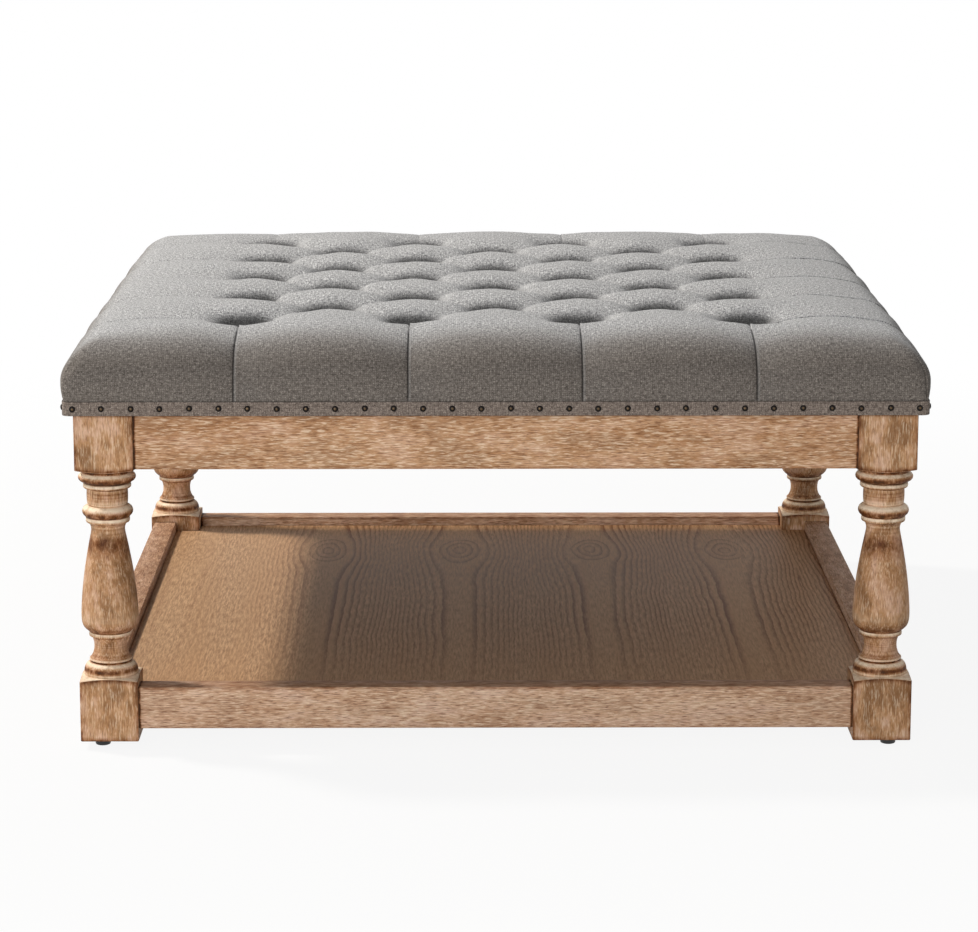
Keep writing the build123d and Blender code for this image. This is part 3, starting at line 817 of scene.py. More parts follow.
@dataclass
class OakBase:
    """Legs, aprons, stretchers, shelf and floor glides."""

    apron_tenon: tuple[float, float, float] = (28 * MM, 40 * MM, 10 * MM)
    stretcher_tenon: tuple[float, float, float] = (28 * MM, 30 * MM, 12 * MM)
    leg_side: float = 62 * MM
    panel_ease: float = 0.8 * MM
    glide_radius: float = 8.2 * MM

    def legs(self, oak: Material) -> list[Object]:
        """Makes the four legs."""
        low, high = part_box("turned_legs")
        leg = TurnedLeg(self.leg_side, low.z, high.z)
        reach = high.x - self.leg_side / 2
        pieces = []
        for name, x, y in (
            ("front_left_leg", -1, -1),
            ("front_right_leg", 1, -1),
            ("back_left_leg", -1, 1),
            ("back_right_leg", 1, 1),
        ):
            piece = leg.build(name, Vector((x * reach, y * reach)), oak)
            pieces.append(fit(piece, "washed_oak", "turned_legs"))
        return pieces

    def rails(self, oak: dict[tuple[str, Grain], Material]) -> list[Object]:
        """Makes the aprons and stretchers.

        Args:
            oak: The finish of each kind of rail, by its grain.

        Returns:
            The finished pieces.
        """
        pieces = []
        for side in Side:
            grain = Grain.ALONG_X if side in (Side.FRONT, Side.BACK) else Grain.ALONG_Y
            for word, tenon in (("apron", self.apron_tenon), ("stretcher", self.stretcher_tenon)):
                node = f"{side.name.lower()}_{word}"
                low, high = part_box(node)
                across = 1 if grain is Grain.ALONG_X else 0
                length = (high - low)[1 - across] - 2 * tenon[0]
                rail = Rail((high - low)[across], low.z, high.z, length, *tenon)
                # A lighter painted shade along each stretcher's top
                if word == "stretcher":
                    rail.top_edge_shade = -0.4
                distance = abs(low[across] + high[across]) / 2
                piece = rail.build(f"{node}_board", side, distance, oak[word, grain])
                pieces.append(fit(piece, "washed_oak", node))
        return pieces

    def shelf(self, veneer: Material) -> Object:
        """Makes the shelf panel, notched round the legs, with eased edges."""
        low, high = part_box("shelf_panel")
        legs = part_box("turned_legs")
        notch = legs[1].x - self.leg_side - 0.5 * MM
        rim = high.x
        corner = [(rim, notch), (notch, notch), (notch, rim)]
        outline = []
        for quarter in range(4):
            cos, sin = math.cos(math.radians(90 * quarter)), math.sin(math.radians(90 * quarter))
            outline += [(x * cos - y * sin, x * sin + y * cos) for x, y in corner]
        plan = np.array(outline)
        inward = plan - np.sign(plan) * self.panel_ease
        ease = self.panel_ease
        rows = [(inward, low.z), (plan, low.z + ease), (plan, high.z - ease), (inward, high.z)]
        points = np.concatenate([np.column_stack([loop, np.full(len(loop), z)]) for loop, z in rows])
        faces = tube(len(rows), len(plan), flip=True)
        panel = mesh_piece("veneered_shelf", points, faces, veneer, smooth_below=30)
        return fit(panel, "oak_veneer", "shelf_panel")

    def glides(self, plastic: Material) -> Object:
        """Makes the four floor glides, domed round their rims."""
        _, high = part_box("floor_glides")
        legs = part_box("turned_legs")
        radius = self.glide_radius
        centre = high.x - radius
        outline = [
            (0.0, 0.0), (radius - 1.6 * MM, 0.0), (radius - 0.5 * MM, 0.5 * MM), (radius, 1.6 * MM),
            (radius, legs[0].z), (2 * MM, legs[0].z), (2 * MM, high.z), (0.0, high.z),
        ]
        points, faces = [], []
        for x in (-centre, centre):
            for y in (-centre, centre):
                more = revolve(outline, 40, x, y, len(points))
                points += more[0]
                faces += more[1]
        piece = mesh_piece("black_floor_glides", np.array(points), faces, plastic)
        return fit(piece, "glide_plastic", "floor_glides")


@dataclass
class TuftedTop:
    """Upholstered top: the tufted cover, its buttons, the band round its edge and the nails."""

    across: int = 5
    deep: int = 6
    roll_radius: float = 40.3 * MM
    fullness: float = 9 * MM
    crown_rise: float = 8 * MM
    crown_run: float = 130 * MM
    roll_start: float = 12.0
    skirt_height: float = 15.2 * MM
    skirt_inset: float = 3.5 * MM
    bulge_height: float = 18 * MM
    corner_radius: float = 20 * MM
    skirt_corner: float = 8.5 * MM
    cloth: float = 1.5 * MM
    hem_width: float = 60 * MM
    band_step: float = 3 * MM
    band_joint: float = 0.2 * MM
    band_fold: float = 0.6 * MM
    tuft_floor: float = 412.2 * MM
    basin_depth: float = 9 * MM
    basin_reach: float = 80 * MM
    pit_reach: float = 48 * MM
    pit_sharpness: float = 1.6
    blend_power: float = 2.4
    button_radius: float = 8.2 * MM
    pleat_depth: float = 10 * MM
    pleat_reach: float = 50 * MM
    pleat_softness: float = 3 * MM
    crease_depth: float = 2.0 * MM
    crease_width: float = 2.6 * MM
    edge_pleat_depth: float = 12.0 * MM
    edge_pleat_reach: float = 84 * MM
    edge_fold_depth: float = 3.2 * MM
    edge_fold_lip: float = 1.4 * MM
    edge_fold_width: float = 1.7 * MM
    # How deep an edge pleat is along its length, as shares of both
    front_run: tuple[tuple[float, ...], ...] = (
        (0, 0.05, 0.2, 0.5, 0.72, 0.9, 1), (0, 0.45, 0.5, 0.65, 1, 0.7, 0.3)
    )
    side_run: tuple[tuple[float, ...], ...] = ((0, 0.16, 0.35, 0.7, 1), (0, 0.75, 0.45, 0.15, 0.08))
    left_fold_share: float = 0.22
    right_fold_share: float = 0.5
    # Where the painted shade starts down the front and the other sides, and how soon it is full
    front_shade_band: tuple[float, float] = (358 * MM, 100 * MM)
    side_shade_band: tuple[float, float] = (418 * MM, 45 * MM)
    most_painted_pit_shade: float = 0.86
    most_painted_highlight: float = 0.18
    lip_reach: float = 2.2 * MM
    corner_drop: float = 9 * MM
    corner_drop_from: float = 290 * MM
    corner_drop_run: float = 165 * MM
    lump_height: float = 0.35 * MM
    sheet_step: float = 6 * MM
    sheet_held: float = 12 * MM
    stuffing_pressure: float = 4.0
    settling_frames: int = 20
    most_swell: float = 5 * MM
    swell_fade: float = 25 * MM
    coarse_step: float = 2.7 * MM
    fine_step: float = 0.55 * MM
    fine_reach: float = 3.2 * MM
    corner_lines: int = 14
    roll_steps: int = 22
    seed: int = 7
    low: Vector = field(init=False)
    high: Vector = field(init=False)

    def __post_init__(self) -> None:
        """Reads the cover's box and works out the places that follow from it."""
        self.low, self.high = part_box("tufted_cover")
        self.half = self.high.x
        self.roll_axis = self.half - self.roll_radius
        self.skirt_top = self.low.z + self.skirt_height
        self.bulge_level = self.skirt_top + self.bulge_height
        self.roll_top = self.high.z - self.crown_rise + self.fullness
        self.step_x = 2 * self.half / self.across
        self.step_y = 2 * self.half / self.deep
        columns = [(n - (self.across - 2) / 2) * self.step_x for n in range(self.across - 1)]
        rows = [(n - (self.deep - 2) / 2) * self.step_y for n in range(self.deep - 1)]
        self.columns, self.rows = columns, rows
        full = [(x, y) for y in rows for x in columns]
        self.staggered = [
            (x + self.step_x / 2, y + self.step_y / 2) for y in rows[:-1] for x in columns[:-1]
        ]
        self.tufts = full + self.staggered
        self.skirt_run = math.hypot(self.bulge_height, self.skirt_inset)

    def graded(self, places: Sequence[float]) -> np.ndarray:
        """Grid lines from one roll axis to the other, closer together near some places."""
        ruler = np.linspace(-self.roll_axis, self.roll_axis, 20001)
        density = np.full(ruler.shape, 1 / self.coarse_step)
        for place in places:
            closer = np.exp(-(((ruler - place) / self.fine_reach) ** 2))
            density += (1 / self.fine_step - 1 / self.coarse_step) * closer
        steps = (density[1:] + density[:-1]) / 2 * np.diff(ruler)
        total = np.concatenate(([0.0], np.cumsum(steps)))
        lines = np.interp(np.linspace(0, total[-1], int(round(total[-1])) + 1), total, ruler)
        for place in places:
            lines[np.abs(lines - place).argmin()] = place
        return lines

    def crown(self, u: np.ndarray, v: np.ndarray) -> np.ndarray:
        """Height of the stuffed top before anything draws it in."""
        shares = [np.clip((self.roll_axis - np.abs(d)) / self.crown_run, 0, 1) for d in (u, v)]
        eased = [1 - (1 - share) ** 2 for share in shares]
        return self.roll_top + self.crown_rise * eased[0] * eased[1]

    def hollows(self, u: np.ndarray, v: np.ndarray, chance: np.random.Generator) -> np.ndarray:
        """Depth of the tufts' own hollows, to the blend power, with the points and chance of sunk."""
        broad = np.zeros(u.shape)
        for x, y in self.tufts:
            level = float(self.crown(np.array(x), np.array(y)))
            pit = level - self.tuft_floor - self.basin_depth - 4 * MM * chance.random()
            reach = self.pit_reach * (1 + 0.16 * (chance.random() - 0.5))
            dx = u - x - 3 * MM * (chance.random() - 0.5)
            dy = v - y - 3 * MM * (chance.random() - 0.5)
            r = np.hypot(dx, dy)
            near = r < self.basin_reach * 1.2
            turn = np.arctan2(dy[near], dx[near])
            lobes = 0.08 * np.cos(4 * turn) + 0.06 * np.cos(3 * turn + 6 * chance.random())
            drawn = r[near] * (1 + lobes)
            share = np.clip((drawn - 0.5 * self.button_radius) / reach, 0, 1)
            basin = self.basin_depth * (1 - np.clip(drawn / self.basin_reach, 0, 1)) ** 2
            broad[near] += (pit * (1 - share) ** self.pit_sharpness + basin) ** self.blend_power
        return broad

    def pleat(
        self,
        du: np.ndarray,
        dv: np.ndarray,
        sides: tuple[int, int],
        chance: np.random.Generator,
        broad: np.ndarray,
        fold: np.ndarray,
    ) -> None:
        """Adds the pleat that runs from a tuft to one of the four round it.

        Args:
            du: Distance of each point from the tuft, across the cloth.
            dv: Distance of each point from the tuft, along the cloth.
            sides: Signs of the way to the other tuft, across and along.
            chance: Source of the unevenness.
            broad: Depth of the valleys to the blend power, which is added to.
            fold: Depth of the creases, which is added to.
        """
        run = np.array([sides[0] * self.step_x / 2, sides[1] * self.step_y / 2])
        length = np.hypot(*run)
        way = run / length
        along = (du * way[0] + dv * way[1]) / length
        off = (dv * way[0] - du * way[1]) * sides[0]
        off = off + 2.0 * MM * (chance.random() - 0.5) * np.sin(np.pi * np.clip(along, 0, 1))
        depth = self.pleat_depth * (0.85 + 0.3 * chance.random())
        near = (np.abs(off) < self.pleat_reach) & (along > -0.05) & (along < 1.05)
        along, off = along[near], off[near]
        ends = np.clip(along * 20 + 1, 0, 1) * np.clip((1 - along) * 20 + 1, 0, 1)
        soft = np.hypot(off, self.pleat_softness) - self.pleat_softness
        valley = depth * (1 - soft / self.pleat_reach) ** 2 * ends
        broad[near] += valley**self.blend_power
        strength = self.crease_depth * (0.5 + chance.random())
        fade = np.clip(1 - 2.6 * np.minimum(along, 1 - along), 0, 1) ** 1.2 * ends
        shape = np.exp(-np.abs(off) / self.crease_width)
        fold[near] += strength * fade * shape * np.where(off > 0, -0.35, 1.0)

    def edge_folds(self, u: np.ndarray, v: np.ndarray, sunk: np.ndarray) -> None:
        """Adds the pleats that run from the outer tufts over the roll, with the points of sunk."""
        power = self.blend_power
        end = self.roll_axis + self.roll_radius * math.pi / 2 + self.skirt_run
        for along, off_axis, places, start, is_front in (
            (np.abs(v), u, self.columns, self.rows[-1], v < 0),
            (np.abs(u), v, self.rows, self.columns[-1], np.zeros(u.shape, bool)),
        ):
            share = (along - start) / (end - start)
            for place in places:
                near = (np.abs(off_axis - place) < self.edge_pleat_reach) & (share > 0)
                off, front = (off_axis - place)[near], is_front[near]
                t = np.clip(share[near], 0, 1)
                rise = np.clip(t * 6, 0, 1)
                pull = np.where(u[near] > 0, self.right_fold_share, self.left_fold_share)
                pull = np.where(front, 1.0, pull)
                run = np.where(front, np.interp(t, *self.front_run), np.interp(t, *self.side_run))
                valley = self.edge_pleat_depth * run * (1 - np.abs(off) / self.edge_pleat_reach) ** 2
                depth = self.edge_fold_depth * pull * (1 - 0.35 * t) * rise
                inner = depth * np.exp(np.minimum(off, 0) / self.edge_fold_width)
                outer = np.exp(-np.maximum(off, 0) / (1.6 * self.edge_fold_width))
                lip = -self.edge_fold_lip * pull * rise * outer
                sunk[near] = (sunk[near] ** power + valley**power) ** (1 / power)
                sunk[near] += np.where(off < 0, inner, lip)

    def sunk(self, u: np.ndarray, v: np.ndarray) -> np.ndarray:
        """How far the tufts, pleats and folds draw the cloth in.

        Args:
            u: Distance of each point across the flattened cloth.
            v: Distance of each point along the flattened cloth.

        Returns:
            Depth below the stuffed surface, in metres.
        """
        chance = np.random.default_rng(self.seed)
        broad = self.hollows(u, v, chance)
        fold = np.zeros(u.shape)
        for x, y in self.staggered:
            for sides in ((-1, -1), (-1, 1), (1, -1), (1, 1)):
                self.pleat(u - x, v - y, sides, chance, broad, fold)
        sunk = broad ** (1 / self.blend_power) + fold
        self.edge_folds(u, v, sunk)
        return sunk

    def swell(self, u: np.ndarray, v: np.ndarray) -> np.ndarray:
        """Simulates the cloth of the top, pressed up by the stuffing and held at the tufts and the edges.

        Args:
            u: Distance of each point across the flattened cloth.
            v: Distance of each point along the flattened cloth.

        Returns: How far each point rises, in metres.
        """
        rise = np.zeros(u.shape)
        reach = self.roll_axis
        count = int(round(2 * reach / self.sheet_step)) + 1
        lines = np.linspace(-reach, reach, count)
        gx, gy = (grid.ravel() for grid in np.meshgrid(lines, lines, indexing="ij"))
        level = self.crown(gx, gy) - self.sunk(gx, gy)
        quads = cells(np.arange(count * count).reshape(count, count))
        mesh = bpy.data.meshes.new("settling_sheet")
        mesh.from_pydata(np.column_stack([gx, gy, level]).tolist(), [], quads.tolist())
        sheet = add_object("settling_sheet", mesh)
        scene = bpy.context.scene
        away = np.min([np.hypot(gx - x, gy - y) for x, y in self.tufts], axis=0)
        held = (np.maximum(np.abs(gx), np.abs(gy)) > reach - 0.1 * MM) | (away < self.sheet_held)
        sheet.vertex_groups.new(name="held").add(np.flatnonzero(held).tolist(), 1.0, "REPLACE")
        cloth = sheet.modifiers.new("settling", "CLOTH")
        cloth.settings.vertex_group_mass = "held"
        cloth.settings.use_pressure = True
        cloth.settings.uniform_pressure_force = self.stuffing_pressure
        cloth.settings.effector_weights.gravity = 0
        cloth.point_cache.frame_start, cloth.point_cache.frame_end = 1, self.settling_frames
        for moment in range(1, self.settling_frames + 1):
            scene.frame_set(moment)
        settled = sheet.evaluated_get(bpy.context.evaluated_depsgraph_get())
        points = np.zeros(3 * count * count, np.float32)
        settled.data.vertices.foreach_get("co", points)
        lifted = np.clip(points.reshape(-1, 3)[:, 2] - level, -self.most_swell / 5, self.most_swell)
        lifted = lifted.reshape(count, count)
        bpy.data.objects.remove(sheet)
        bpy.data.meshes.remove(mesh)
        scene.frame_set(1)
        LOG.info("settled sheet rises %.2f mm at most", 1000 * lifted.max())
        inside = (np.abs(u) <= reach) & (np.abs(v) <= reach)
        steps = [(d[inside] + reach) / (lines[1] - lines[0]) for d in (u, v)]
        i, j = (np.minimum(step.astype(int), count - 2) for step in steps)
        p, q = steps[0] - i, steps[1] - j
        rise[inside] = (1 - p) * ((1 - q) * lifted[i, j] + q * lifted[i, j + 1])
        rise[inside] += p * ((1 - q) * lifted[i + 1, j] + q * lifted[i + 1, j + 1])
        return rise

    def profile(self) -> list[tuple[float, float, float, float, float]]:
        """Rings from the edge of the crown down the roll and round the hem.

        Returns:
            For each ring: its half side, height, distance run over the cloth, and outward and upward
            parts of its normal. A ring whose normal is zero isn't drawn in by tufts.
        """
        rings = []
        first = math.radians(self.roll_start)
        for step in range(1, self.roll_steps + 1):
            share = step / self.roll_steps
            turn = first + (math.pi / 2 - first) * share
            out = (math.sin(turn) - math.sin(first)) / (1 - math.sin(first))
            half = self.roll_axis + self.roll_radius * out
            height = self.bulge_level + (self.roll_top - self.bulge_level) * math.cos(turn) / math.cos(first)
            run = self.roll_radius * math.pi / 2 * share
            rings.append((half, height, run, math.sin(turn), math.cos(turn)))
        run = self.roll_radius * math.pi / 2
        for step in range(1, 9):
            share = step / 8
            half = self.half - self.skirt_inset * share**2
            out = 1.0 - 0.9 * max(0.0, share - 0.6) / 0.4
            height = self.bulge_level - self.bulge_height * share
            rings.append((half, height, run + self.skirt_run * share, out, 0.0))
        run += self.skirt_run
        skirt = self.half - self.skirt_inset
        bottom = self.low.z
        deck = skirt - self.cloth
        foam = deck - 10 * MM
        # Round the hem, then up the inside along the deck and the foam
        for half, height in (
            (skirt, bottom + 1.0 * MM),
            (skirt - 0.7 * MM, bottom + 0.1 * MM),
            (skirt - self.hem_width, bottom + 0.1 * MM),
            (skirt - self.hem_width, bottom + self.cloth - 0.1 * MM),
            (deck + 0.1 * MM, bottom + self.cloth - 0.1 * MM),
            (deck + 0.1 * MM, bottom + self.cloth + 12.1 * MM),
            (foam + 0.1 * MM, bottom + self.cloth + 12.1 * MM),
            (foam + 0.1 * MM, bottom + self.cloth + 44.1 * MM),
        ):
            run += math.hypot(half - rings[-1][0], height - rings[-1][1])
            rings.append((half, height, run, 0.0, 0.0))
        return rings

    def ring(self, side_lines: np.ndarray, half: float, corner: float) -> tuple[np.ndarray, ...]:
        """Points of one side of a rounded square, from one corner's middle to just before the next.

        Args:
            side_lines: Grid lines that end on this side.
            half: Half the square's side.
            corner: Radius of its corners.

        Returns:
            Distances along the side and out of it, the same parts of the normal, and the distance
            along the cloth.
        """
        scale = min(1.0, (half - corner) / self.roll_axis)
        edge = self.roll_axis * scale
        straight = half - corner - edge
        total = straight + corner * math.pi / 4
        shares = 1 - (1 - np.arange(1, self.corner_lines + 1) / self.corner_lines) ** 1.5
        run = total * shares
        turn = np.maximum(run - straight, 0) / max(corner, 1e-9)
        along = np.where(run > straight, half - corner + corner * np.sin(turn), edge + run)
        out = np.where(run > straight, half - corner + corner * np.cos(turn), half)
        lines = side_lines * scale
        zeros = np.zeros(len(lines))
        return (
            np.concatenate([-along[::-1], lines, along[:-1]]),
            np.concatenate([out[::-1], zeros + half, out[:-1]]),
            np.concatenate([-np.sin(turn)[::-1], zeros, np.sin(turn)[:-1]]),
            np.concatenate([np.cos(turn)[::-1], zeros + 1, np.cos(turn)[:-1]]),
            np.concatenate([-(edge + run)[::-1], lines, (edge + run)[:-1]]),
        )

    def corner(self, half: float, height: float, is_inside: bool) -> float:
        """Corner radius of a ring of the cover.

        Args:
            half: Half the ring's side.
            height: Height of the ring.
            is_inside: Whether the ring is part of the hem or of the hollow for the deck and the foam.

        Returns:
            The radius, which is nearly nought on the inside.
        """
        radius = self.corner_radius * (half - self.roll_axis) / self.roll_radius
        if height < self.bulge_level:
            share = min(1.0, (self.bulge_level - height) / self.bulge_height)
            radius = self.corner_radius + (self.skirt_corner - self.corner_radius) * share
        if half < self.roll_axis + self.skirt_corner or is_inside and half < self.half - 6 * MM:
            radius = min(radius, 0.5 * MM)
        return radius

    def walls(
        self, loops: list[list[int]], starts: list[int], runs: list[np.ndarray]
    ) -> tuple[list[tuple[int, ...]], list[np.ndarray]]:
        """Faces of the cover's sides, and where they lie on the flattened cloth.

        Args:
            loops: Vertex numbers of each ring, the edge of the crown first.
            starts: Number of each side's first point in a ring.
            runs: Distances along the cloth of each ring's points.

        Returns:
            The faces, and a row for each of their corners.
        """
        faces, flat = [], []
        runs_out = [0.0] + [ring[2] for ring in self.profile()]
        count = len(loops[0])
        for level in range(len(loops) - 1):
            for side, start, end in zip(Side, starts, starts[1:] + [count]):
                for k in range(start, end):
                    after = (k + 1) % count
                    corners = [(k, level), (k, level + 1), (after, level + 1), (after, level)]
                    face = [loops[depth][index] for index, depth in corners]
                    kept = [n for n in range(4) if face[n] != face[n - 1]]
                    faces.append(tuple(face[n] for n in kept))
                    spots = []
                    for index, depth in (corners[n] for n in kept):
                        run = self.cloth_place(runs, depth, index, start, end, k)
                        spots.append((run, self.roll_axis + runs_out[depth]))
                    flat.append(side.place(*np.array(spots).T))
        return faces, flat

    def cover(self, cloth: Material) -> Object:
        """Makes the tufted cover as one closed skin, hollow for the foam and the deck."""
        xs, ys = self.graded(self.columns), self.graded(self.rows)
        u, v = (grid.ravel() for grid in np.meshgrid(xs, ys, indexing="ij"))
        number = np.arange(len(u)).reshape(len(xs), len(ys))
        points = [np.column_stack([u, v, self.crown(u, v)])]
        normals = [np.column_stack([np.zeros((len(u), 2)), np.ones(len(u))])]
        sheet = [np.column_stack([u, v])]
        loops: list[list[int]] = [[]]
        starts: list[int] = []
        runs: list[np.ndarray] = []
        for edge in (number[:, 0], number[-1, :], number[::-1, -1], number[0, ::-1]):
            starts.append(len(loops[0]))
            edge = edge.tolist()
            loops[0] += [edge[0]] * self.corner_lines + edge + [edge[-1]] * (self.corner_lines - 1)
        total = len(u)
        for half, height, run, out_part, up_part in self.profile():
            corner = self.corner(half, height, out_part == 0)
            runs.append(np.zeros(0))
            for side, lines in zip(Side, (xs, ys, xs, ys)):
                along, out, n_along, n_out, t = self.ring(lines, half, corner)
                points.append(np.column_stack([side.place(along, out), np.full(len(t), height)]))
                facing = side.place(n_along, n_out) * out_part
                normals.append(np.column_stack([facing, np.full(len(t), up_part)]))
                sheet.append(side.place(t, np.full(len(t), self.roll_axis + run)))
                runs[-1] = np.append(runs[-1], t)
            loops.append(list(range(total, total + len(runs[-1]))))
            total += len(runs[-1])
        place, normal, flat = (np.concatenate(part) for part in (points, normals, sheet))
        drawn = self.sunk(flat[:, 0], flat[:, 1]) + self.corner_fold(flat, loops, starts)
        drawn += self.lump_height * self.unevenness(place)
        place = place - normal * drawn[:, None]
        place[:, 2] += self.swell(flat[:, 0], flat[:, 1]) * np.clip(1 - drawn / self.swell_fade, 0, 1)
        share = (np.abs(place[:, :2]) - self.corner_drop_from) / self.corner_drop_run
        near = np.prod(np.clip(share, 0, 1), axis=1)
        lift = np.clip((place[:, 2] - self.bulge_level) / (self.roll_top - self.bulge_level), 0, 1)
        place[:, 2] -= self.corner_drop * near**1.3 * lift
        quads = cells(number)
        faces, spots = self.walls(loops, starts, runs)
        faces = [tuple(q) for q in quads.tolist()] + faces + [tuple(loops[-1])]
        spots = np.concatenate([flat[quads].reshape(-1, 2), *spots, flat[loops[-1]]])
        piece = mesh_piece("tufted_cushion", place, faces, cloth, smooth_below=70)
        layer = piece.data.uv_layers.new(name="Cloth")
        layer.data.foreach_set("uv", spots.astype(np.float32).ravel())
        self.paint_shade_and_highlight(piece, flat, drawn)
        fit(piece, "linen_cloth", "tufted_cover")
        return piece

    def paint_shade_and_highlight(self, piece: Object, flat: np.ndarray, drawn: np.ndarray) -> None:
        """Stores painted shade down the sides and deep in the tufts, and a painted highlight along the raised
        side of a fold.

        Args:
            piece: The cover.
            flat: Place of each vertex on the flattened cloth.
            drawn: How far each vertex is drawn in.
        """
        u, v = flat.T
        # Painted shade down the front and the other sides
        front = np.clip((-v - self.front_shade_band[0]) / self.front_shade_band[1], 0, 1)
        others = np.maximum(np.abs(u), v)
        nap = np.maximum(front, np.clip((others - self.side_shade_band[0]) / self.side_shade_band[1], 0, 1))
        # Painted shade deep in each tuft
        away = np.full(len(flat), 9.0)
        for x, y in self.tufts:
            away = np.minimum(away, np.hypot(1.25 * (u - x), 0.8 * (v - y)) / self.pit_reach)
        pit = np.clip((drawn - 2.5 * MM) / (12 * MM), 0, 1) * np.clip(1.9 - 1.5 * away, 0, 1)
        here = self.sunk(u, v)
        rise = (self.sunk(u - self.lip_reach, v + self.lip_reach) - here) / (1.8 * MM)
        fall = (here - self.sunk(u + self.lip_reach, v)) / (2.4 * MM)
        # Painted shade on the falling side of each edge pleat
        pit = np.maximum(pit, 0.75 * np.clip(fall, 0, 1) * np.clip(2 * away - 1.6, 0, 1))
        # Painted highlight along the raised side of a fold, fainter down the sides
        lip = np.clip(rise, 0, 1) * (1 - 0.5 * nap)
        shares = {"nap": (nap, 1.0), "pit": (pit, self.most_painted_pit_shade), "lip": (lip, self.most_painted_highlight)}
        for name, (share, most) in shares.items():
            mark(piece.data, name, most * share * share * (3 - 2 * share))

    def cloth_place(
        self, runs: list[np.ndarray], depth: int, index: int, start: int, end: int, k: int
    ) -> float:
        """Distance along the cloth of one corner of a face on a side.

        Args:
            runs: Distances along the cloth of each ring's points.
            depth: Number of the ring, from zero at the edge of the crown.
            index: Number of the point in its ring.
            start: Number of the side's first point.
            end: Number of the next side's first point.
            k: Number of the face's first point.

        Returns:
            The distance, from the middle of the side.
        """
        ring = runs[max(depth - 1, 0)]
        value = ring[index]
        if index != k and k + 1 == end:
            value = -ring[start]
        if depth == 0:
            value = float(np.clip(value, -self.roll_axis, self.roll_axis))
        return float(value)

    def corner_fold(self, flat: np.ndarray, loops: list[list[int]], starts: list[int]) -> np.ndarray:
        """Depth of the upright fold at each corner, where the spare cloth is tucked away."""
        depth = np.zeros(len(flat))
        profile = self.profile()
        for level, loop in enumerate(loops[1:]):
            out_part = profile[level][3] + profile[level][4]
            share = np.clip((profile[level][2] / self.roll_radius - 0.5) / 0.8, 0, 1)
            if out_part <= 0:
                continue
            for start in starts:
                for step in range(-6, 7):
                    deep = 2.6 * MM * math.exp(-abs(step) / 1.2)
                    if step > 0:
                        deep = -0.7 * MM * math.exp(-step / 2)
                    depth[loop[(start + step) % len(loop)]] += share * deep
        return depth

    def unevenness(self, place: np.ndarray) -> np.ndarray:
        """Gentle lumps of the stuffing, from three crossed waves of unlike lengths."""
        x, y, z = place.T
        lumps = np.sin(x / (21 * MM) + 1.3 * np.sin(y / (34 * MM)))
        lumps += np.sin(y / (17 * MM) + 1.1 * np.sin(x / (29 * MM)) + z / (14 * MM))
        lumps += 0.6 * np.sin((x + y) / (11 * MM) + 2 * np.sin((x - y) / (47 * MM)))
        return lumps

    def band_path(self, inner: float) -> np.ndarray:
        """Line round the skirt, from the middle of the back and back to it.

        Args:
            inner: Distance of the line from the middle of the table.

        Returns:
            Rows of plan place and outward direction.
        """
        corner = self.skirt_corner
        straight = inner - corner
        stops: list[tuple[float, ...]] = []
        sides = (Side.BACK, Side.LEFT, Side.FRONT, Side.RIGHT, Side.BACK)
        for number, side in enumerate(sides):
            is_last = number == len(sides) - 1
            start = -straight if number else self.band_joint
            end = -self.band_joint if is_last else straight
            for t in np.linspace(start, end, max(2, int((end - start) / self.band_step))):
                stops.append((*side.place(t, inner), *side.value))
            for turn in [] if is_last else np.radians(np.linspace(0, 90, 12)[1:-1]):
                sin, cos = math.sin(turn), math.cos(turn)
                place = side.place(straight + corner * sin, straight + corner * cos)
                stops.append((*place, *side.place(sin, cos)))
        return np.array(stops)

    def band(self, cloth: Material) -> Object:
        """Makes the band round the lower edge, folded at both edges, with its joint behind."""
        low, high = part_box("trim_band")
        inner = self.half - self.skirt_inset + 0.05 * MM
        thick, height, fold = high.x - inner, high.z - low.z, self.band_fold
        section = [(0, 0), (thick - fold, 0), (thick - 0.25 * fold, 0.3 * fold), (thick, fold)]
        section += [(thick, height * share) for share in (0.25, 0.5, 0.75)]
        section += [(thick, height - fold), (thick - 0.25 * fold, height - 0.3 * fold)]
        section += [(thick - fold, height), (0, height)]
        path = self.band_path(inner)
        run = np.concatenate(([0.0], np.cumsum(np.hypot(*np.diff(path[:, :2], axis=0).T))))
        sag = 0.12 * MM * np.sin(run / (37 * MM)) + 0.08 * MM * np.sin(run / (13 * MM) + 1)
        points = []
        for off, up in section:
            plan = path[:, :2] + path[:, 2:] * off
            points.append(np.column_stack([plan, low.z + up + (sag if 0 < up < height else 0 * sag)]))
        width = len(section)
        number = np.arange(len(path) * width).reshape(len(path), width).tolist()
        faces = []
        for here, there in zip(number, number[1:]):
            for j in range(width):
                after = (j + 1) % width
                faces.append((there[j], there[after], here[after], here[j]))
        faces += [tuple(number[0]), tuple(reversed(number[-1]))]
        rows = np.stack(points, axis=1).reshape(-1, 3)
        piece = mesh_piece("nailed_band", rows, faces, cloth, smooth_below=50)
        girth = np.concatenate(([0.0], np.cumsum([math.dist(a, b) for a, b in zip(section, section[1:])])))
        lay_cloth(piece.data, np.stack(np.meshgrid(run, girth, indexing="ij"), axis=-1).reshape(-1, 2))
        # Painted shade along both folded edges: under the cushion above and where the band turns under below
        painted_edge_shade = [0.55 if up < fold or up > height - 0.9 * fold else 0.0 for _, up in section]
        mark(piece.data, "pit", np.tile(painted_edge_shade, len(path)))
        return fit(piece, "linen_band", "trim_band")


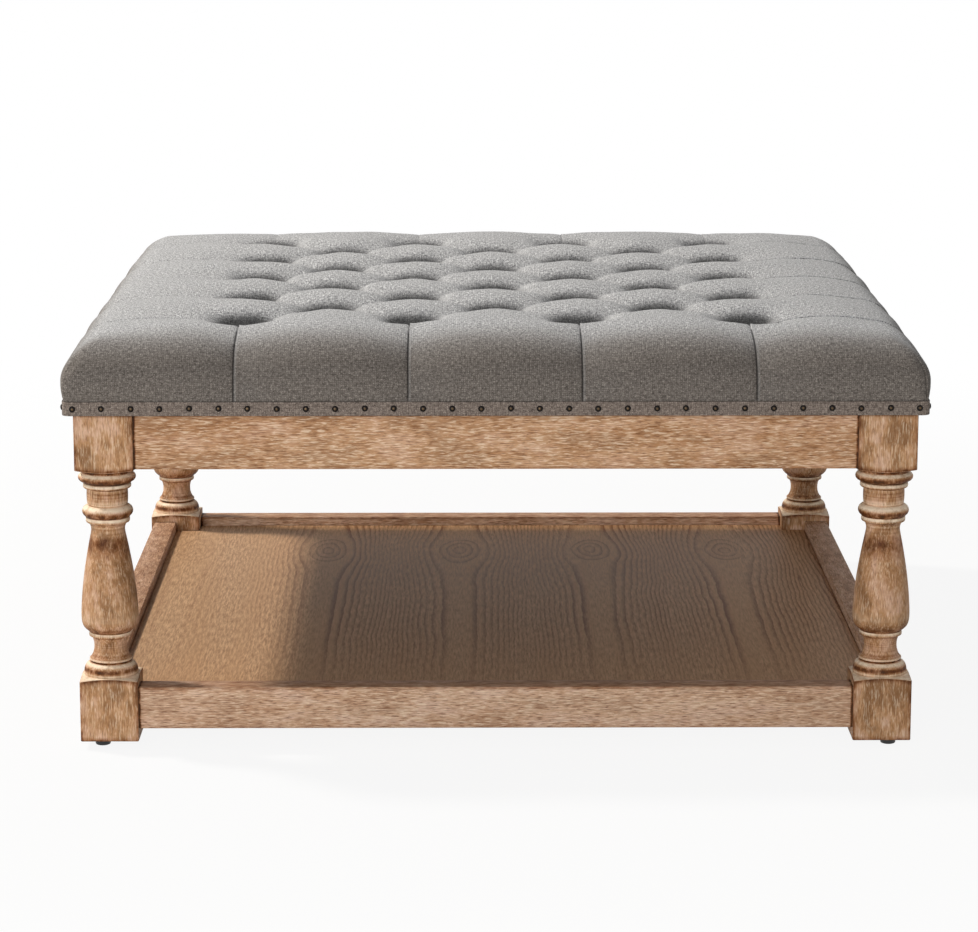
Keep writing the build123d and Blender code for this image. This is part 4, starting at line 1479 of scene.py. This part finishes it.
@dataclass
class Nails:
    """Domed nail heads in rows round the band, and covered buttons in the tufts."""

    per_side: int = 30
    head_radius: float = 3.4 * MM
    head_height: float = 1.7 * MM
    steps: int = 16
    lean: float = 0.10
    stray: float = 0.35 * MM
    button_lean: float = 0.12
    button_painted_shade: float = 0.5

    def dome(self, name: str, outline: Sequence[tuple[float, float]]) -> Object:
        """Turns a half outline, from its lower pole to its upper one, about Z into a closed head."""
        points, faces = revolve(outline, self.steps)
        mesh = bpy.data.meshes.new(name)
        mesh.from_pydata(points, [], faces)
        mesh.shade_smooth()
        mark(mesh, "tone", np.array([p[2] for p in points], np.float32) / outline[-1][1])
        return add_object(name, mesh)

    def scatter_tree(self) -> NodeTree:
        """Geometry Nodes that set a head on each point, facing along the point's normal.

        Returns:
            A tree with inputs for the head, its finish, how much heads differ and the seed.
        """
        tree = bpy.data.node_groups.new("heads_on_points", "GeometryNodeTree")
        add = partial(add_node, tree)
        for name, kind in (
            ("Geometry", "Geometry"), ("Head", "Object"), ("Finish", "Material"), ("Tilt", "Float"),
            ("Wander", "Float"), ("Seed", "Int"),
        ):
            tree.interface.new_socket(name, in_out="INPUT", socket_type=f"NodeSocket{kind}")
        tree.interface.new_socket("Geometry", in_out="OUTPUT", socket_type="NodeSocketGeometry")
        given = add("NodeGroupInput")
        head = add("GeometryNodeObjectInfo", {"Object": given.outputs["Head"]})
        facing = add("GeometryNodeInputNamedAttribute", {"Name": "facing"}, data_type="FLOAT_VECTOR")
        aligned = add("FunctionNodeAlignRotationToVector", {"Vector": facing}, axis="Z")
        spin_low = add("CombineXYZ", [given.outputs["Tilt"], given.outputs["Tilt"]])
        flipped = add("VectorMath:MULTIPLY", [spin_low, (-1, -1, 0)])
        spin = add(
            "FunctionNodeRandomValue", {0: flipped, 1: spin_low, "Seed": given.outputs["Seed"]},
            data_type="FLOAT_VECTOR",
        )
        leaned = add(
            "FunctionNodeRotateRotation", {"Rotation": aligned, "Rotate By": spin}, rotation_space="LOCAL"
        )
        shift_high = add(
            "CombineXYZ", [given.outputs["Wander"], given.outputs["Wander"], given.outputs["Wander"]]
        )
        shift_low = add("VectorMath:MULTIPLY", [shift_high, (-1, -1, -1)])
        later = add("Math:ADD", [given.outputs["Seed"], 1.0])
        shift = add(
            "FunctionNodeRandomValue", {0: shift_low, 1: shift_high, "Seed": later}, data_type="FLOAT_VECTOR"
        )
        sideways = add("VectorMath:CROSS_PRODUCT", [shift, facing])
        moved = add("GeometryNodeSetPosition", {"Geometry": given.outputs[0], "Offset": sideways})
        set_on = add(
            "GeometryNodeInstanceOnPoints",
            {"Points": moved, "Instance": head.outputs["Geometry"], "Rotation": leaned},
        )
        real = add("GeometryNodeRealizeInstances", [set_on])
        done = add("GeometryNodeSetMaterial", {"Geometry": real, "Material": given.outputs["Finish"]})
        add("NodeGroupOutput", [done])
        return tree

    def scatter(
        self,
        name: str,
        tree: NodeTree,
        head: Object,
        places: Sequence[tuple[Vector, Vector]],
        material: Material,
        tilt: float,
        wander: float,
        seed: int,
    ) -> Object:
        """Sets a head on each place and bakes the lot to one mesh.

        Args:
            name: The piece's name.
            tree: The tree from scatter_tree.
            head: The head to repeat.
            places: Position and direction of each head.
            material: Their finish.
            tilt: Most that a head leans, in radians.
            wander: Most that a head strays from its place.
            seed: Seed of both.

        Returns:
            The finished piece.
        """
        mesh = bpy.data.meshes.new(name + "_places")
        mesh.from_pydata([tuple(p) for p, _ in places], [], [])
        facing = mesh.attributes.new("facing", "FLOAT_VECTOR", "POINT")
        facing.data.foreach_set("vector", np.array([tuple(n) for _, n in places], np.float32).ravel())
        holder = add_object(name, mesh)
        modifier = holder.modifiers.new("heads", "NODES")
        modifier.node_group = tree
        sockets = {s.name: s.identifier for s in tree.interface.items_tree if s.in_out == "INPUT"}
        given = {"Head": head, "Finish": material, "Tilt": tilt, "Wander": wander, "Seed": seed}
        for key, value in given.items():
            modifier[sockets[key]] = value
        bpy.context.view_layer.update()
        seen = holder.evaluated_get(bpy.context.evaluated_depsgraph_get())
        baked = bpy.data.meshes.new_from_object(seen)
        holder.modifiers.remove(modifier)
        holder.data = baked
        baked.name = name
        bpy.data.meshes.remove(mesh)
        return holder

    def rows(self, tree: NodeTree, brass: Material) -> list[Object]:
        """Makes the row of nails on each side of the band."""
        radius, height = self.head_radius, self.head_height
        outline = [
            (0.0, -0.2 * MM), (radius - 0.3 * MM, -0.2 * MM), (radius, 0.0), (0.86 * radius, 0.52 * height),
            (0.6 * radius, 0.84 * height), (0.3 * radius, 0.97 * height), (0.0, height),
        ]
        head = self.dome("nail_head", outline)
        pieces = []
        for number, side in enumerate(Side):
            node = f"{side.name.lower()}_nails"
            low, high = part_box(node)
            middle = (low + high) / 2
            long_axis = 0 if side in (Side.FRONT, Side.BACK) else 1
            span = (high - low)[long_axis] - 2 * radius
            seat = abs(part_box("trim_band")[1].x)
            places = []
            for k in range(self.per_side):
                x, y = side.place(span * (k / (self.per_side - 1) - 0.5), seat)
                places.append((Vector((float(x), float(y), middle.z)), Vector((*side.value, 0))))
            name = f"{side.name.lower()}_nail_heads"
            piece = self.scatter(name, tree, head, places, brass, self.lean, self.stray, 11 + number)
            pieces.append(fit(piece, "antique_nail", node))
        bpy.data.objects.remove(head)
        return pieces

    def buttons(
        self, tree: NodeTree, top: TuftedTop, cloth: Material
    ) -> Object:
        """Makes the covered button at the bottom of each tuft."""
        low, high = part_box("tuft_buttons")
        radius, height = top.button_radius, high.z - low.z
        outline = [
            (0.0, 0.0), (0.72 * radius, 0.0), (0.97 * radius, 0.22 * height), (radius, 0.42 * height),
            (0.9 * radius, 0.68 * height), (0.62 * radius, 0.89 * height), (0.3 * radius, 0.98 * height),
            (0.0, height),
        ]
        head = self.dome("button", outline)
        places = [(Vector((x, y, low.z)), Vector((0, 0, 1))) for x, y in top.tufts]
        piece = self.scatter("covered_buttons", tree, head, places, cloth, self.button_lean, 0.0, 3)
        bpy.data.objects.remove(head)
        spots = np.zeros(len(piece.data.vertices) * 3, np.float32)
        piece.data.vertices.foreach_get("co", spots)
        lay_cloth(piece.data, spots.reshape(-1, 3)[:, :2])
        # The walls of its hollow keep most of the light off a button
        mark(piece.data, "pit", np.full(len(piece.data.vertices), self.button_painted_shade))
        fit(piece, "linen_cloth", "tuft_buttons")
        return piece


@dataclass
class HiddenWork:
    """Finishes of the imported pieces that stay: what is under the top and inside it."""

    finishes: dict[str, Plain] = field(
        default_factory=lambda: {
            "shelf_cleat": Plain("planed_pine", "#d9b888", "#b98f5c", 14 * MM, (0.2, 0.2, 1.0)),
            "corner_block": Plain("sawn_pine", "#d6b482", "#b68b58", 10 * MM, (0.3, 0.3, 1.0), 0.75),
            "top_screws": Plain(
                "zinc_plated_steel", "#a9abad", "#7d7f82", 3 * MM, roughness=0.35, metallic=1.0
            ),
            "deck_board": Plain("sanded_birch_plywood", "#d8bd92", "#bf9c6c", 18 * MM, (0.1, 1.0, 1.0)),
            "foam_core": Plain("cut_polyurethane_foam", "#e3d9b4", "#cdbf92", 3 * MM, relief=0.5 * MM),
            "tuft_twines": Plain("waxed_twine", "#c8b893", "#9c8a64", 1 * MM, (1.0, 1.0, 4.0)),
            "twine_washers": Plain(
                "stamped_steel_washers", "#9b9da0", "#75777a", 4 * MM, roughness=0.4, metallic=1.0
            ),
            "dust_cover": Plain(
                "black_spunbond", "#1d1d1e", "#101011", 2.5 * MM, roughness=0.95, relief=0.3 * MM
            ),
        }
    )

    def dress(self) -> None:
        """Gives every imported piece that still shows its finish."""
        made = {word: finish.material() for word, finish in self.finishes.items()}
        for node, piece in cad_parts.items():
            for word, material in made.items():
                if node.endswith(word):
                    piece.data.materials.clear()
                    piece.data.materials.append(material)
                    LOG.info("%s keeps its shape and gets %s", node, material.name)


@dataclass
class Studio:
    """Pale floor, soft lamps and the camera at the photograph's place."""

    camera_place: tuple[float, float, float] = (-0.0291, -3.8768, 1.0026)
    pitch: float = 11.426
    yaw: float = 0.361
    focal_pixels: float = 3327.5
    image_width: float = 978.0
    sensor: float = 36.0
    aim_height: float = 0.25
    sky_strength: float = 0.19
    floor_reach: float = 30.0
    # The key from behind on the left, the fill from the front and the kicker: place, size, watts, colour
    lamps: tuple[tuple[str, tuple[float, float, float], float, float, str], ...] = (
        ("key", (-3.65, 1.25, 4.3), 0.6, 260.0, "#fffaf2"),
        ("fill", (-1.6, -5.0, 1.3), 2.6, 112.0, "#ffffff"),
        ("kicker", (3.6, 2.6, 2.4), 2.4, 16.0, "#ffffff"),
    )

    def camera(self) -> None:
        """Makes the camera, tilted down at the table from a little above it."""
        data = bpy.data.cameras.new("camera")
        data.sensor_width = self.sensor
        data.lens = self.focal_pixels / self.image_width * self.sensor
        data.clip_end = 60
        rig = add_object("camera", data)
        rig.location = self.camera_place
        rig.rotation_euler = Euler((math.radians(90 - self.pitch), 0, math.radians(-self.yaw)))
        bpy.context.scene.camera = rig

    def lamp(self, name: str, place: Vector, size: float, watts: float, shade: str) -> None:
        """Makes one square area lamp that looks at the table."""
        data = bpy.data.lights.new(name, "AREA")
        data.size = size
        data.energy = watts
        data.color = linear(shade)[:3]
        lamp = add_object(name, data)
        lamp.location = place
        lamp.rotation_euler = (place - Vector((0, 0, self.aim_height))).to_track_quat("Z", "Y").to_euler()

    def lights(self) -> None:
        """Makes the lamps and the sky, which looks brighter than it lights."""
        for name, place, size, watts, shade in self.lamps:
            self.lamp(name, Vector(place), size, watts, shade)
        world = bpy.data.worlds.new("studio")
        bpy.context.scene.world = world
        world.use_nodes = True
        tree = world.node_tree
        strength = add_node(tree, "MapRange", {0: self.seen(tree), 3: self.sky_strength, 4: 1.0})
        feed(tree, tree.nodes["Background"], {"Color": (1, 1, 1, 1), "Strength": strength})

    def seen(self, tree: NodeTree) -> Node:
        """One for rays that show a surface to the eye: straight, mirrored or through glass."""
        path = add_node(tree, "LightPath")
        seen = add_node(tree, "Math:MAXIMUM", [path.outputs["Is Camera Ray"], path.outputs["Is Glossy Ray"]])
        return add_node(tree, "Math:MAXIMUM", [seen, path.outputs["Is Transmission Ray"]])

    def floor(self) -> None:
        """Makes a plain pale floor that keeps a soft shadow."""
        size = self.floor_reach
        points = np.array([(-size, -size, 0), (size, -size, 0), (size, size, 0), (-size, size, 0)], float)
        material, tree, shader = new_material("pale_floor")
        add = partial(add_node, tree)
        feed(tree, shader, {"Base Color": linear("#e9e9e9"), "Roughness": 0.9, "Specular IOR Level": 0.0})
        white = add("Emission", {"Color": (1, 1, 1, 1), "Strength": 1.0})
        where = add("TexCoord").outputs["Object"]
        away = add("VectorMath:LENGTH", [where])
        fade = add("MapRange", [away, 0.7, 2.2, 0.9, 1.0], interpolation_type="SMOOTHSTEP")
        share = add("Math:MULTIPLY", [self.seen(tree), fade])
        mixed = add("MixShader", [share, shader, white])
        feed(tree, tree.nodes["Material Output"], {"Surface": mixed})
        mesh_piece("floor", points, [(0, 1, 2, 3)], material)


def main() -> None:
    """Builds the table's pieces in order, then the studio."""
    logging.basicConfig(level=logging.INFO, format="%(name)s: %(message)s")
    bpy.context.scene.view_settings.view_transform = "Standard"
    oak = {}
    for grain in (Grain.ALONG_X, Grain.ALONG_Y):
        way = grain.name.lower()
        oak["apron", grain] = WashedOak(f"washed_oak_{way}", grain).material()
        paler = WashedOak(
            f"limed_oak_{way}", grain, early="#e1bfa4", late="#c69775",
            stains=("#9b7555", "#cda583", "#e1c2ae"),
        )
        oak["stretcher", grain] = paler.material()
    leg_oak = WashedOak(
        "washed_oak_along_z", Grain.ALONG_Z, ticks=0.4, streaks=0.5, mottle=0.75, banding=0.2, patch_run=0.6
    ).material()
    linen = LinenCloth("woven_linen_look").material()
    band_linen = LinenCloth("folded_linen_band", top_shades=("#4d433f", "#7e7269", "#a6998f")).material()
    base = OakBase()
    base.legs(leg_oak)
    base.rails(oak)
    base.shelf(OakVeneer("crown_cut_oak_veneer").material())
    base.glides(Plain("moulded_black_plastic", "#191919", "#101010", 2 * MM, roughness=0.45).material())
    top = TuftedTop()
    top.cover(linen)
    top.band(band_linen)
    nails = Nails()
    tree = nails.scatter_tree()
    nails.rows(tree, AntiqueNail("antiqued_nail_steel").material())
    nails.buttons(tree, top, linen)
    HiddenWork().dress()
    studio = Studio()
    studio.camera()
    studio.lights()
    studio.floor()


if __name__ == "__main__":
    main()
